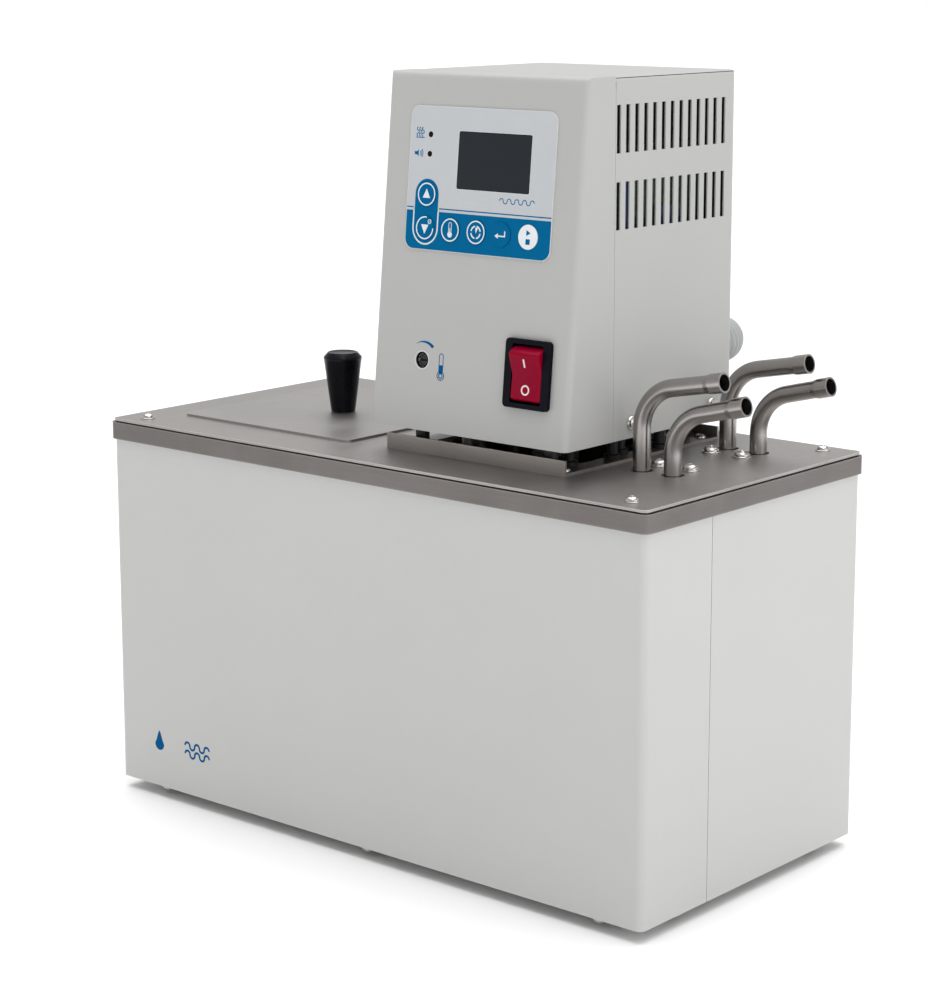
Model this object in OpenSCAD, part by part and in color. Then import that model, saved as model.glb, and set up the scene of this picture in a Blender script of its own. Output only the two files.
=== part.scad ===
// Heated circulating water bath: a stainless tank in a two-part painted casing, a cover plate with a
// lift-off lid, four hose tubes, and a circulator head with pump, heater, sensors and control panel.
// Frame: X along the long side, the front faces -Y, Z up, origin on the floor under the bath's centre.

/* [Bath body] */
// Length of the stainless rim
rim_l = 330; // [300:5:420]
// Depth of the stainless rim, front to back
rim_w = 167.4; // [160:2:230]
// Height of the painted casing
casing_h = 180.5; // [160:5:260]
// Gap between the floor and the casing
ground_gap = 6; // [4:1:12]
// Sheet thickness of the casing
casing_t = 1.2; // [0.8:0.1:2]
// Distance from the front face to the seam between the casing shells
casing_seam = 47.5; // [30:2.5:70]
// Width of the casing's bottom flange
casing_flange = 14; // [12:1:20]
// Outer radius of the casing's upright corners
casing_r = 3.5; // [2.5:0.5:6]
// Thickness of the base pan
pan_t = 1.2; // [0.8:0.1:2]
// Radius of a foot
foot_r = 11; // [8:1:16]
// Feet to the casing's ends
foot_inset = 38; // [30:2:60]

/* [Tank] */
// Thickness of the rim flange on top of the casing
rim_t = 1.2; // [0.8:0.1:2]
// Thickness of the rim's turned-down skirt
skirt_t = 1; // [0.8:0.1:1.5]
// Height of the rim's skirt
skirt_h = 8.4; // [6:0.4:14]
// Depth of the tank below the rim
tank_depth = 150; // [140:2:155]
// Wall of the tank
tank_t = 1; // [0.8:0.1:1.5]
// Inner radius of the tank's upright corners
tank_r = 18; // [12:1:24]
// Thickness of the insulation between casing and tank
foam_t = 12; // [8:1:14]

/* [Cover plate and lid] */
// Thickness of the cover plate
cover_t = 1.2; // [1:0.1:2]
// Thickness of the gasket under it
gasket_t = 0.5; // [0.4:0.1:1]
// Side of the square lid
lid_side = 111; // [100:1:114]
// Thickness of the lid
lid_t = 1.2; // [1:0.1:2]
// Depth of the lid's locating skirt
lid_skirt_h = 7; // [5:1:12]
// Lid centre, left of the bath's centre
lid_x = 85.5; // [84:0.5:92]
// Height of the lid knob
knob_h = 30; // [24:1:36]
// Radius of the knob at its foot
knob_foot_r = 6; // [5:0.5:7]
// Radius of the knob at its top
knob_top_r = 9.6; // [8:0.2:12]

/* [Hose tubes] */
// Outer diameter of the hose tubes
tube_od = 8; // [6:0.5:9]
// Wall of the hose tubes
tube_wall = 0.8; // [0.5:0.1:1]
// Outer diameter of the flared mouths
flare_od = 9; // [8.5:0.5:11]
// Centreline radius of the upper bends
tube_bend_r = 20; // [16:1:24]
// Distance between the two tubes of a pair
tube_pitch = 17; // [15:0.5:20]
// Distance between the two pairs
pair_pitch = 66; // [60:1:72]
// Centre of the tube group, right of the bath's centre
tubes_x = 121; // [120:0.5:123]
// Centre of the tube group, behind the bath's centre
tubes_y = 15.8; // [12:0.2:18]
// Distance between the bracket screws of a pair of tubes
bracket_screw_pitch = 40; // [36:1:44]

/* [Circulator head] */
// Width of the head
head_w = 115.2; // [112:0.4:118]
// Height of the head
head_h = 160.6; // [150:2:190]
// Gap between the cover plate and the head
head_gap = 12; // [11:1:16]
// Front of the head at its foot, in front of the bath's centre
head_front = 57; // [56:0.5:60]
// Back of the head, behind the bath's centre
head_back = 67.5; // [64:0.5:70]
// Lean of the front face in degrees
head_lean = 5.5; // [4:0.5:7]
// Centre of the head, right of the bath's centre
head_x = 43.4; // [42:0.2:45]
// Distance from the bath's centre forward to the seam between the head's shells
head_seam = 23.5; // [22:0.5:26]
// Sheet thickness of the head's shells
shell_t = 1.2; // [1:0.1:1.6]
// Outer radius of the head's rounded edges
shell_r = 3; // [2:0.5:5]
// Number of vent slots in a row
vent_count = 13; // [8:1:13]
// Width of a vent slot
vent_w = 2.9; // [2:0.1:3.5]
// Height of a vent slot
vent_h = 21; // [16:1:24]

/* [Controls] */
// Width of the keypad film
film_w = 84.6; // [80:1:90]
// Height of the keypad film
film_h = 64.6; // [60:1:68]
// Radius of a key
key_r = 5.2; // [4:0.2:5.6]
// Travel of a key
key_travel = 0.4; // [0.2:0.1:0.6]
// Width of the rocker switch bezel
switch_w = 25.2; // [22:0.2:28]
// Height of the rocker switch bezel
switch_h = 30.5; // [28:0.5:34]

/* [Pump and immersed parts] */
// Radius of the motor housing
motor_r = 31; // [26:1:32]
// Height of the motor housing
motor_h = 60; // [50:1:66]
// Radius of the drive shaft
shaft_r = 3; // [2.5:0.5:4]
// Outer radius of the column that carries the pump
column_r = 11; // [9:1:12]
// Outer radius of the pump housing
pump_r = 30; // [28:1:31]
// Radius of the heater ring
heater_ring_r = 38; // [37:1:40]
// Radius of the heater tube
heater_r = 4; // [3:0.5:4]
// Radius of the float
float_r = 9; // [7:0.5:10]
// Travel of the float
float_travel = 25; // [15:1:30]

/* [Hidden] */
$fn = 48;
eps = 0.5; // extra length of a cut
fit_gap = 0.05; // radial clearance of a shaft, spindle or tube in its hole
seat_gap = 0.3; // gap between neighbours that don't touch
bend_joint = 0.01; // gap between a straight run of a tube and its bend
casing_gap = 0.3; // gap between the rim's skirt and the casing
casing_screw_inset = 27; // screws of the long sides to the casing's ends
casing_side_screw_y = [-49, 59];
foot_inset_y = foot_inset - 6;
foot_recess_r = 4.6;
foot_recess_h = 3;
casing_l = rim_l - 2 * (skirt_t + casing_gap);
casing_w = rim_w - 2 * (skirt_t + casing_gap);
casing_top = ground_gap + casing_h;
seam_y = -casing_w / 2 + casing_seam;
seam_gap = 0.4;
pan_z = ground_gap + casing_t;
rim_z = casing_top + rim_t;
cover_z = rim_z + gasket_t;
deck_z = cover_z + cover_t;
tank_l = casing_l - 2 * (casing_t + foam_t + seat_gap);
tank_w = casing_w - 2 * (casing_t + foam_t + seat_gap);
tank_floor_z = rim_z - tank_depth - tank_t;
cover_inset = 1.1;
cover_l = rim_l - 2 * cover_inset;
cover_w = rim_w - 2 * cover_inset;
cover_r = 3;
corner_screw_inset_x = 16;
corner_screw_inset_y = 11.2;
m3_r = 1.45; // shank radii of the screws
m4_r = 1.95;
m5_r = 2.35;
screw_gap = 0.2; // radial clearance of a screw in a plain hole
lid_edge = 3.5; // overlap of the lid on the cover plate
lid_opening = lid_side - 2 * lid_edge;
lid_skirt_gap = 1;
lid_skirt_t = 1;
lid_opening_r = 6;
tube_r = tube_od / 2;
bracket_t = 2;
bracket_margin = 9;
hose_hole_r = 5.2;
pair_x = [tubes_x - tube_pitch / 2, tubes_x + tube_pitch / 2];
pair_y = [tubes_y - pair_pitch / 2, tubes_y + pair_pitch / 2];
bracket_screw_y = [tubes_y - bracket_screw_pitch / 2, tubes_y + bracket_screw_pitch / 2];
tall_rise = 19; // straight rise of the inner tubes above the cover plate
low_rise = 9.5; // straight rise of the outer tubes
tall_slope = 11; // slope of the inner mouths in degrees
low_slope = 14.5; // slope of the outer mouths
tall_reach = 28; // straight run behind the inner mouths
low_reach = 24;
flare_l = 9;
tray_w = 105.2; // circulator tray
tray_front = 51;
tray_back = 65;
tray_t = 1.2;
tray_lip_front = 7;
tray_lip_back = 6;
tray_z = deck_z + tray_t;
axis_x = head_x; // pump axis
axis_y = 8;
well_l = 86; // opening in the cover plate and the tray under the head
well_w = 84;
well_r = 8;
tray_screw_x = 47.6; // tray screws, from the head's centre
tray_screw_y = [-45, 57];
head_z = deck_z + head_gap;
head_top = head_z + head_h;
base_t = 1.5;
base_z = head_z + 1;
base_flange_h = 12;
post_r = 3.2;
post_x = 38; // posts from the head's centre
post_y = [-42.5, 57];
face_len = head_h / cos(head_lean);
side_screw_y = [-10, 51.5];
side_screw_z = base_z + 6;
vent_first_y = -20.9;
vent_pitch = 6.52;
vent_rows = [head_top - 22.8, head_top - 56.3]; // centre heights of the vent rows
film_t = 0.5;
film_r = 5;
film_v = 114; // height of the film's centre on the face
window_w = 41.6;
window_h = 25.3;
window_u = 7.6;
window_v = 122.9;
window_t = 1;
led_u = -30.2;
led_v = [133.5, 124.8];
led_r = 1.3;
key_gap = 0.3;
key_back = 1.4; // depth of a key behind the face
board_y = 8; // depth of the control board behind the face
board_t = 1.6;
switch_u = 34.8;
switch_v = 32;
switch_depth = 22;
rocker_w = 16.4;
rocker_h = 23.6;
rocker_tilt = 9;
rocker_pivot_y = 3.2;
rocker_pin_r = 1.2;
limiter_u = -28;
limiter_v = 32;
limiter_hole_r = 3.8;
limiter_spindle_r = 3;
motor_z = base_z + base_t;
motor_wall = 3;
motor_cap_t = 5;
bearing_r = 8;
bearing_h = 5;
stator_r = 17;
rotor_r = 16.4;
fan_r = 28;
fan_h = 9;
fan_z = motor_z + motor_h + 5;
column_wall = 3;
pump_z = tank_floor_z + 63; // height of the pump outlet's axis
pump_h = 22;
pump_wall = 3;
pump_floor_t = 3;
impeller_r = 21;
impeller_h = 9;
outlet_r = tube_r + 2;
heater_z = pump_z - 25;
heater_ends = 30; // half of the ring's gap in degrees
heater_bend_r = 8;
heater_top = motor_z + 12;
probe_r = 2;
probe_xy = [axis_x + 27, axis_y + 29];
limit_probe_xy = [axis_x - 28, axis_y + 32];
probe_end_z = heater_z + 14;
float_xy = [axis_x - 25, axis_y - 34];
float_stem_r = 2.5;
float_h = 20;
float_z = tank_floor_z + 90;
float_clip_t = 2;
coil_bend_r = 12;
coil_hairpin_r = 11;
coil_low_z = tank_floor_z + 25;
coil_high_z = coil_low_z + 2 * coil_hairpin_r;
coil_front_y = -48;
hose_r = 10.5; // rear hose
hose_wall = 2;
hose_port_x = [head_x + 38.6, head_x + 2.6];
hose_z = head_z + 31;
hose_straight = 13;
port_r = 7.5;
inlet_u = -28; // mains inlet
inlet_z = head_z + 42;
inlet_w = 28;
inlet_h = 20.5;
inlet_recess_w = 24;
inlet_recess_h = 16;
inlet_recess_d = 14;
limiter_side = 24; // square body of the overheat limiter
limiter_depth = 20;
limiter_neck_r = 5;
limiter_neck_h = 4;
spindle_l = 13;
power_x = head_x + 43;

// Key places on the leaning face: across from its centre line, up from its foot
KEYS = [["key_up", -30.4, 106.7], ["key_down", -30.4, 91.6], ["key_temperature", -15.3, 91.6],
    ["key_timer", -0.2, 91.6], ["key_enter", 14.3, 91.6], ["key_start", 29.8, 91.6]];

// ---- shared shapes ----

// Upright block centred on the origin in X and Y, with rounded upright corners
module round_block(l, w, h, r) {
    translate([-l / 2 + r, -w / 2, 0]) cube([l - 2 * r, w, h]);
    translate([-l / 2, -w / 2 + r, 0]) cube([l, w - 2 * r, h]);
    for (x = [-1, 1], y = [-1, 1])
        translate([x * (l / 2 - r), y * (w / 2 - r), 0]) cylinder(r = r, h = h);
}

// Upright ring between two rounded rectangles
module round_ring(l, w, h, r, wall) {
    difference() {
        round_block(l, w, h, r);
        translate([0, 0, -eps])
            round_block(l - 2 * wall, w - 2 * wall, h + 2 * eps, max(r - wall, 0.5));
    }
}

// Pan-head screw hanging from the origin: head above, shank below
module pan_screw(shank_r, head_r, head_h, length) {
    difference() {
        rotate_extrude() polygon([[0, 0], [head_r, 0], [head_r, head_h * 0.45],
            [head_r * 0.72, head_h], [0, head_h]]);
        for (turn = [0, 90]) rotate([0, 0, turn])
            translate([-head_r * 0.5, -0.35, head_h * 0.45]) cube([head_r, 0.7, head_h]);
    }
    translate([0, 0, -length]) cylinder(r = shank_r, h = length);
}

module washer(hole_r, outer_r, t) {
    difference() {
        cylinder(r = outer_r, h = t);
        translate([0, 0, -eps]) cylinder(r = hole_r, h = t + 2 * eps);
    }
}

module hex_nut(hole_r, flats, h) {
    difference() {
        cylinder(r = flats / sqrt(3), h = h, $fn = 6);
        translate([0, 0, -eps]) cylinder(r = hole_r, h = h + 2 * eps);
    }
}

// Straight tube along +Z
module pipe(r, wall, length) {
    difference() {
        cylinder(r = r, h = length);
        translate([0, 0, -eps]) cylinder(r = r - wall, h = length + 2 * eps);
    }
}

// Straight run of a bent tube, a hair short of the bend at each end
module pipe_run(r, wall, length) {
    translate([0, 0, bend_joint]) pipe(r, wall, length - 2 * bend_joint);
}

// Tube bend from +Z towards +X, starting at the origin
module pipe_bend(r, wall, bend_r, angle) {
    translate([bend_r, 0, 0]) rotate([90, 0, 0]) rotate([0, 0, 180 - angle])
        rotate_extrude(angle = angle) translate([bend_r, 0]) difference() {
            circle(r = r);
            circle(r = r - wall);
        }
}

// Moves its children into the leaning face: X across, Z up along the face, -Y outwards
module on_face(u, v) {
    translate([head_x, -head_front, head_z]) rotate([-head_lean, 0, 0]) translate([u, 0, v])
        children();
}

// Block with rounded corners that lies in the leaning face, from depth y0 to depth y1
module face_block(w, h, y0, y1, r) {
    translate([0, y1, 0]) rotate([90, 0, 0]) round_block(w, h, y1 - y0, r);
}

// ---- bath body ----

module casing_shell() {
    translate([0, 0, ground_gap]) round_ring(casing_l, casing_w, casing_h, casing_r, casing_t);
    translate([0, 0, ground_gap]) difference() {
        round_block(casing_l, casing_w, casing_t, casing_r);
        translate([0, 0, -eps]) round_block(casing_l - 2 * casing_flange,
            casing_w - 2 * casing_flange, casing_t + 2 * eps, casing_r);
        casing_screw_places() translate([0, 0, -eps])
            cylinder(r = m3_r + screw_gap, h = casing_t + 2 * eps);
    }
}

// Screws through the bottom flange: three along each long side, two along each short side
module casing_screw_places() {
    inset = casing_flange / 2;
    for (x = [-1, 0, 1], y = [-1, 1])
        translate([x * (casing_l / 2 - casing_screw_inset), y * (casing_w / 2 - inset), 0])
            children();
    for (x = [-1, 1], y = casing_side_screw_y)
        translate([x * (casing_l / 2 - inset), y, 0]) children();
}

module foot_places() {
    for (x = [-1, 1], y = [-1, 1])
        translate([x * (casing_l / 2 - foot_inset), y * (casing_w / 2 - foot_inset_y), 0])
            children();
}

module front_casing() {
    color([0.80, 0.80, 0.78]) intersection() {
        casing_shell();
        translate([-casing_l, -casing_w, 0])
            cube([2 * casing_l, casing_w + seam_y - seam_gap / 2, 2 * casing_top]);
    }
}

module rear_casing() {
    color([0.80, 0.80, 0.78]) {
        intersection() {
            casing_shell();
            translate([-casing_l, seam_y + seam_gap / 2, 0])
                cube([2 * casing_l, 2 * casing_w, 2 * casing_top]);
        }
        // joint strips that reach behind the front casing
        for (side = [-1, 1]) translate([side * (casing_l / 2 - 1.5 * casing_t), seam_y, pan_z + pan_t])
            translate([-casing_t / 2, -6, 0]) cube([casing_t, 12, casing_h - 2 * casing_t - pan_t]);
    }
}

module base_pan() {
    color([0.62, 0.63, 0.64]) translate([0, 0, pan_z]) difference() {
        round_block(casing_l - 2 * casing_t - 2 * seat_gap, casing_w - 2 * casing_t - 2 * seat_gap,
            pan_t, casing_r);
        casing_screw_places() translate([0, 0, -eps]) cylinder(r = m3_r + fit_gap, h = pan_t + 2 * eps);
        foot_places() translate([0, 0, -eps]) cylinder(r = m4_r + fit_gap, h = pan_t + 2 * eps);
    }
}

module feet() {
    color([0.08, 0.08, 0.08]) foot_places() difference() {
        rotate_extrude() polygon([[0, 0], [foot_r - 2, 0], [foot_r, 1.5], [foot_r + 1, pan_z],
            [0, pan_z]]);
        translate([0, 0, -eps]) cylinder(r = m4_r + screw_gap, h = pan_z + 2 * eps);
        translate([0, 0, -eps]) cylinder(r = foot_recess_r, h = foot_recess_h + eps);
    }
}

module foot_screws() {
    color([0.7, 0.7, 0.7]) foot_places() translate([0, 0, foot_recess_h])
        rotate([180, 0, 0]) pan_screw(m4_r, 3.8, 2.4, pan_z + pan_t + 2 - foot_recess_h);
}

module casing_screws() {
    color([0.75, 0.75, 0.72]) casing_screw_places() translate([0, 0, ground_gap])
        rotate([180, 0, 0]) pan_screw(m3_r, 3.1, 2.3, casing_t + pan_t + 3);
}

module tank() {
    color([0.62, 0.60, 0.58]) difference() {
        union() {
            translate([0, 0, casing_top]) round_block(rim_l, rim_w, rim_t, 4);
            translate([0, 0, rim_z - skirt_h]) round_ring(rim_l, rim_w, skirt_h, 4, skirt_t);
            translate([0, 0, tank_floor_z])
                round_block(tank_l, tank_w, tank_depth + tank_t, tank_r + tank_t);
        }
        translate([0, 0, tank_floor_z + tank_t]) round_block(tank_l - 2 * tank_t,
            tank_w - 2 * tank_t, tank_depth + eps, tank_r);
        corner_screw_places() cylinder(r = m3_r + screw_gap, h = 60, center = true);
    }
}

module insulation() {
    foam_top = casing_top - 8;
    pan_top = pan_z + pan_t;
    screw_pocket = 5;
    color([0.85, 0.80, 0.60]) difference() {
        translate([0, 0, pan_top]) round_block(casing_l - 4 * casing_t - 2 * seat_gap,
            casing_w - 4 * casing_t - 2 * seat_gap, foam_top - pan_top, casing_r);
        translate([0, 0, tank_floor_z]) round_block(tank_l + 2 * seat_gap, tank_w + 2 * seat_gap,
            foam_top, tank_r + tank_t + seat_gap);
        casing_screw_places() translate([0, 0, pan_top - eps]) cylinder(r = 2.5, h = screw_pocket);
        foot_places() translate([0, 0, pan_top - eps]) cylinder(r = 3.5, h = screw_pocket);
    }
}

// ---- cover plate and lid ----

module corner_screw_places() {
    for (x = [-1, 1], y = [-1, 1]) translate([x * (rim_l / 2 - corner_screw_inset_x),
        y * (rim_w / 2 - corner_screw_inset_y), deck_z]) children();
}

module tray_screw_places() {
    for (x = [-1, 1], y = tray_screw_y) translate([head_x + x * tray_screw_x, y, deck_z]) children();
}

module cover_gasket() {
    color([0.10, 0.10, 0.10]) translate([0, 0, rim_z]) difference() {
        round_block(cover_l - 1, cover_w - 1, gasket_t, cover_r);
        translate([0, 0, -eps]) round_block(tank_l - 2 * tank_t, tank_w - 2 * tank_t,
            gasket_t + 2 * eps, tank_r);
        translate([0, 0, -rim_z]) corner_screw_places()
            cylinder(r = m3_r + screw_gap, h = 20, center = true);
    }
}

module cover_plate() {
    color([0.60, 0.58, 0.56]) difference() {
        translate([0, 0, cover_z]) round_block(cover_l, cover_w, cover_t, cover_r);
        translate([-lid_x, 0, cover_z - eps])
            round_block(lid_opening, lid_opening, cover_t + 2 * eps, lid_opening_r);
        translate([axis_x, axis_y, cover_z - eps])
            round_block(well_l, well_w, cover_t + 2 * eps, well_r);
        for (x = pair_x, y = pair_y) translate([x, y, cover_z - eps])
            cylinder(r = hose_hole_r, h = cover_t + 2 * eps);
        for (x = pair_x, y = bracket_screw_y) translate([x, y, cover_z - eps])
            cylinder(r = m4_r + screw_gap, h = cover_t + 2 * eps);
        corner_screw_places() cylinder(r = m3_r + screw_gap, h = 20, center = true);
        tray_screw_places() cylinder(r = m3_r + screw_gap, h = 20, center = true);
    }
}

// Corner screws with their washers, and nuts under the rim
module cover_screws() {
    washer_t = 0.6;
    nut_h = 2.4;
    grip = deck_z - casing_top;
    color([0.80, 0.80, 0.78]) corner_screw_places() {
        washer(m3_r + screw_gap, 3.5, washer_t);
        translate([0, 0, washer_t]) pan_screw(m3_r, 2.9, 2, washer_t + grip + nut_h + 0.5);
        translate([0, 0, -grip - nut_h]) hex_nut(m3_r + fit_gap, 5, nut_h);
    }
}

module lid() {
    skirt_side = lid_opening - 2 * lid_skirt_gap;
    color([0.60, 0.58, 0.56]) translate([-lid_x, 0, 0]) {
        difference() {
            translate([0, 0, deck_z]) round_block(lid_side, lid_side, lid_t, cover_r);
            translate([0, 0, deck_z - eps]) cylinder(r = m5_r + screw_gap, h = lid_t + 2 * eps);
        }
        translate([0, 0, deck_z - lid_skirt_h])
            round_ring(skirt_side, skirt_side, lid_skirt_h, lid_opening_r - lid_skirt_gap, lid_skirt_t);
    }
}

module lid_knob() {
    bevel = 1.6;
    color([0.05, 0.05, 0.06]) translate([-lid_x, 0, deck_z + lid_t]) difference() {
        rotate_extrude() polygon([[0, 0], [knob_foot_r - 0.6, 0], [knob_foot_r, 0.8],
            [knob_top_r, knob_h - bevel], [knob_top_r - bevel, knob_h], [0, knob_h]]);
        translate([0, 0, -eps]) cylinder(r = m5_r + fit_gap, h = knob_h * 0.45 + eps);
    }
}

module lid_knob_screw() {
    washer_t = 0.8;
    color([0.78, 0.78, 0.76]) translate([-lid_x, 0, deck_z]) rotate([180, 0, 0]) {
        washer(m5_r + screw_gap, 5.5, washer_t);
        translate([0, 0, washer_t])
            pan_screw(m5_r, 4.6, 2.8, washer_t + lid_t + knob_h * 0.45 - 1);
    }
}

// ---- hose tubes ----

// Upper end of a hose tube: rise, bend, straight run and flared mouth, from the cover plate's top
module tube_top(rise, slope, reach) {
    angle = 90 - slope;
    pipe_run(tube_r, tube_wall, rise);
    translate([0, 0, rise]) pipe_bend(tube_r, tube_wall, tube_bend_r, angle);
    translate([tube_bend_r * (1 - cos(angle)), 0, rise + tube_bend_r * sin(angle)])
        rotate([0, angle, 0]) {
            pipe_run(tube_r, tube_wall, reach - flare_l);
            translate([0, 0, reach - flare_l]) flare();
        }
}

module flare() {
    step = 2.5;
    outer = flare_od / 2;
    rotate_extrude() polygon([[tube_r - tube_wall, 0], [tube_r, 0], [outer, step], [outer, flare_l],
        [outer - tube_wall, flare_l], [outer - tube_wall, step + 0.3]]);
}

module tube_bracket() {
    l = tube_pitch + 2 * bracket_margin;
    w = pair_pitch + 2 * bracket_margin;
    color([0.55, 0.54, 0.52]) difference() {
        translate([tubes_x, tubes_y, cover_z - bracket_t]) round_block(l, w, bracket_t, 3);
        for (x = pair_x, y = pair_y) translate([x, y, cover_z - bracket_t - eps])
            cylinder(r = tube_r + fit_gap, h = bracket_t + 2 * eps);
        for (x = pair_x, y = bracket_screw_y) translate([x, y, cover_z - bracket_t - eps])
            cylinder(r = m4_r + screw_gap, h = bracket_t + 2 * eps);
    }
}

module bracket_screws() {
    washer_t = 0.8;
    nut_h = 3.2;
    grip = cover_t + bracket_t;
    color([0.80, 0.79, 0.77]) for (x = pair_x, y = bracket_screw_y) translate([x, y, deck_z]) {
        washer(m4_r + screw_gap, 4.5, washer_t);
        translate([0, 0, washer_t]) pan_screw(m4_r, 3.7, 2.3, washer_t + grip + nut_h + 1);
        translate([0, 0, -grip - nut_h]) hex_nut(m4_r + fit_gap, 7, nut_h);
    }
}

module pump_outlet_tube() {
    drop = deck_z - pump_z - coil_bend_r;
    run = pair_x[0] - coil_bend_r - (axis_x + pump_r - 4);
    color([0.62, 0.59, 0.56]) translate([pair_x[0], pair_y[0], 0]) {
        translate([0, 0, deck_z]) tube_top(tall_rise, tall_slope, tall_reach);
        translate([0, 0, deck_z - drop]) pipe_run(tube_r, tube_wall, drop);
        translate([0, 0, deck_z - drop]) rotate([0, 180, 0])
            pipe_bend(tube_r, tube_wall, coil_bend_r, 90);
        translate([-coil_bend_r, 0, pump_z]) rotate([0, -90, 0])
            pipe_run(tube_r, tube_wall, run);
    }
}

module pump_return_tube() {
    drop = 50;
    color([0.62, 0.59, 0.56]) translate([pair_x[1], pair_y[0], 0]) {
        translate([0, 0, deck_z]) tube_top(low_rise, low_slope, low_reach);
        translate([0, 0, deck_z - drop]) pipe_run(tube_r, tube_wall, drop);
    }
}

// Cooling coil: one tube down, forward and back in two hairpins, and up again
module cooling_coil() {
    back_y = pair_y[1] - coil_bend_r;
    turn_y = back_y - 2;
    run_l = back_y - coil_front_y;
    color([0.62, 0.59, 0.56]) {
        translate([pair_x[0], pair_y[1], deck_z]) tube_top(tall_rise, tall_slope, tall_reach);
        translate([pair_x[1], pair_y[1], deck_z]) tube_top(low_rise, low_slope, low_reach);
        for (x = pair_x) translate([x, 0, 0]) {
            translate([0, pair_y[1], coil_high_z + coil_bend_r])
                pipe_run(tube_r, tube_wall, deck_z - coil_high_z - coil_bend_r);
            translate([0, pair_y[1], coil_high_z + coil_bend_r]) rotate([0, 180, 90])
                pipe_bend(tube_r, tube_wall, coil_bend_r, 90);
            translate([0, coil_front_y, coil_high_z]) rotate([-90, 0, 0])
                pipe_run(tube_r, tube_wall, run_l);
            translate([0, coil_front_y, coil_high_z]) rotate([90, 0, 0]) rotate([0, 0, -90])
                pipe_bend(tube_r, tube_wall, coil_hairpin_r, 180);
            translate([0, coil_front_y, coil_low_z]) rotate([-90, 0, 0])
                pipe_run(tube_r, tube_wall, turn_y - coil_front_y);
        }
        translate([pair_x[0], turn_y, coil_low_z]) rotate([-90, 0, 0])
            pipe_bend(tube_r, tube_wall, tube_pitch / 2, 180);
    }
}

// ---- circulator tray and base ----

module head_tray() {
    front_y = -tray_front;
    depth = tray_front + tray_back;
    color([0.58, 0.56, 0.53]) difference() {
        union() {
            translate([head_x - tray_w / 2, front_y, deck_z]) cube([tray_w, depth, tray_t]);
            translate([head_x - tray_w / 2, front_y, deck_z]) cube([tray_w, tray_t, tray_lip_front]);
            translate([head_x - tray_w / 2, tray_back - tray_t, deck_z])
                cube([tray_w, tray_t, tray_lip_back]);
        }
        translate([axis_x, axis_y, deck_z - eps])
            round_block(well_l, well_w, tray_t + 2 * eps, well_r);
        tray_screw_places() cylinder(r = m3_r + screw_gap, h = 20, center = true);
    }
}

module tray_screws() {
    nut_h = 2.4;
    grip = tray_t + cover_t;
    color([0.78, 0.78, 0.76]) tray_screw_places() {
        translate([0, 0, tray_t]) pan_screw(m3_r, 2.7, 1.8, grip + nut_h + 0.5);
        translate([0, 0, -cover_t - nut_h]) hex_nut(m3_r + fit_gap, 5, nut_h);
    }
}

module head_posts() {
    color([0.20, 0.20, 0.21]) for (x = [-1, 1], y = post_y)
        translate([head_x + x * post_x, y, tray_z]) cylinder(r = post_r, h = base_z - tray_z);
}

module side_screw_places() {
    for (side = [-1, 1], y = side_screw_y) translate([head_x + side * head_w / 2, y, side_screw_z])
        rotate([0, side * 90, 0]) children();
}

module head_base() {
    w = head_w - 2 * (shell_t + seat_gap);
    front_y = -head_front + shell_t + 3;
    back_y = head_back - shell_t - seat_gap;
    color([0.45, 0.45, 0.46]) difference() {
        union() {
            translate([head_x, (front_y + back_y) / 2, base_z])
                round_block(w, back_y - front_y, base_t, shell_r);
            for (side = [0, 1]) translate([head_x - w / 2 + side * (w - base_t), -head_seam, base_z])
                cube([base_t, back_y + head_seam - shell_r, base_flange_h]);
        }
        side_screw_places() cylinder(r = m3_r + fit_gap, h = 20, center = true);
        translate([axis_x, axis_y, base_z - eps]) cylinder(r = bearing_r, h = base_t + 2 * eps);
        heater_leg_places() translate([0, 0, base_z - eps])
            cylinder(r = heater_r + fit_gap, h = base_t + 2 * eps);
        for (place = [probe_xy, limit_probe_xy]) translate([place[0], place[1], base_z - eps])
            cylinder(r = probe_r + fit_gap, h = base_t + 2 * eps);
        translate([float_xy[0], float_xy[1], base_z - eps])
            cylinder(r = float_stem_r + fit_gap, h = base_t + 2 * eps);
    }
}

// ---- head shells ----

// Wedge with a leaning front, rounded front corners and a rounded top edge, open towards the back
module front_wedge(inset, back_y) {
    w = head_w - 2 * inset;
    face = inset / cos(head_lean);
    top = head_top - inset;
    low = head_z - 1;
    r = max(shell_r - inset, 0.8);
    front_at = function (z) -head_front + face + (z - head_z) * tan(head_lean);
    arc_y = front_at(top - r) + r / cos(head_lean);
    intersection() {
        translate([head_x - w / 2, 0, 0]) rotate([90, 0, 90]) linear_extrude(w) {
            polygon([[front_at(low), low],
                [arc_y - r * cos(head_lean), top - r + r * sin(head_lean)], [arc_y, top],
                [back_y, top], [back_y, low]]);
            translate([arc_y, top - r]) circle(r = r);
        }
        on_face(0, -5) translate([0, inset + 60, 0])
            round_block(w, 120, face_len + 20, r);
    }
}

module front_shell() {
    hole_y = 10;
    color([0.80, 0.80, 0.77]) difference() {
        intersection() {
            front_wedge(0, -head_seam);
            translate([0, 0, head_z]) translate([-500, -500, 0]) cube([1000, 1000, 1000]);
        }
        front_wedge(shell_t, 0);
        on_face(window_u, window_v) face_block(window_w + 0.6, window_h + 0.6, -hole_y, hole_y, 0.8);
        for (key = KEYS) on_face(key[1], key[2]) rotate([90, 0, 0])
            cylinder(r = key_r + key_gap, h = 2 * hole_y, center = true);
        for (v = led_v) on_face(led_u, v) rotate([90, 0, 0])
            cylinder(r = led_r + 0.1, h = 2 * hole_y, center = true);
        on_face(limiter_u, limiter_v) rotate([90, 0, 0])
            cylinder(r = limiter_hole_r, h = 2 * hole_y, center = true);
        on_face(switch_u, switch_v)
            face_block(switch_w - 3, switch_h - 3, -hole_y, hole_y, 1);
    }
}

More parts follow.
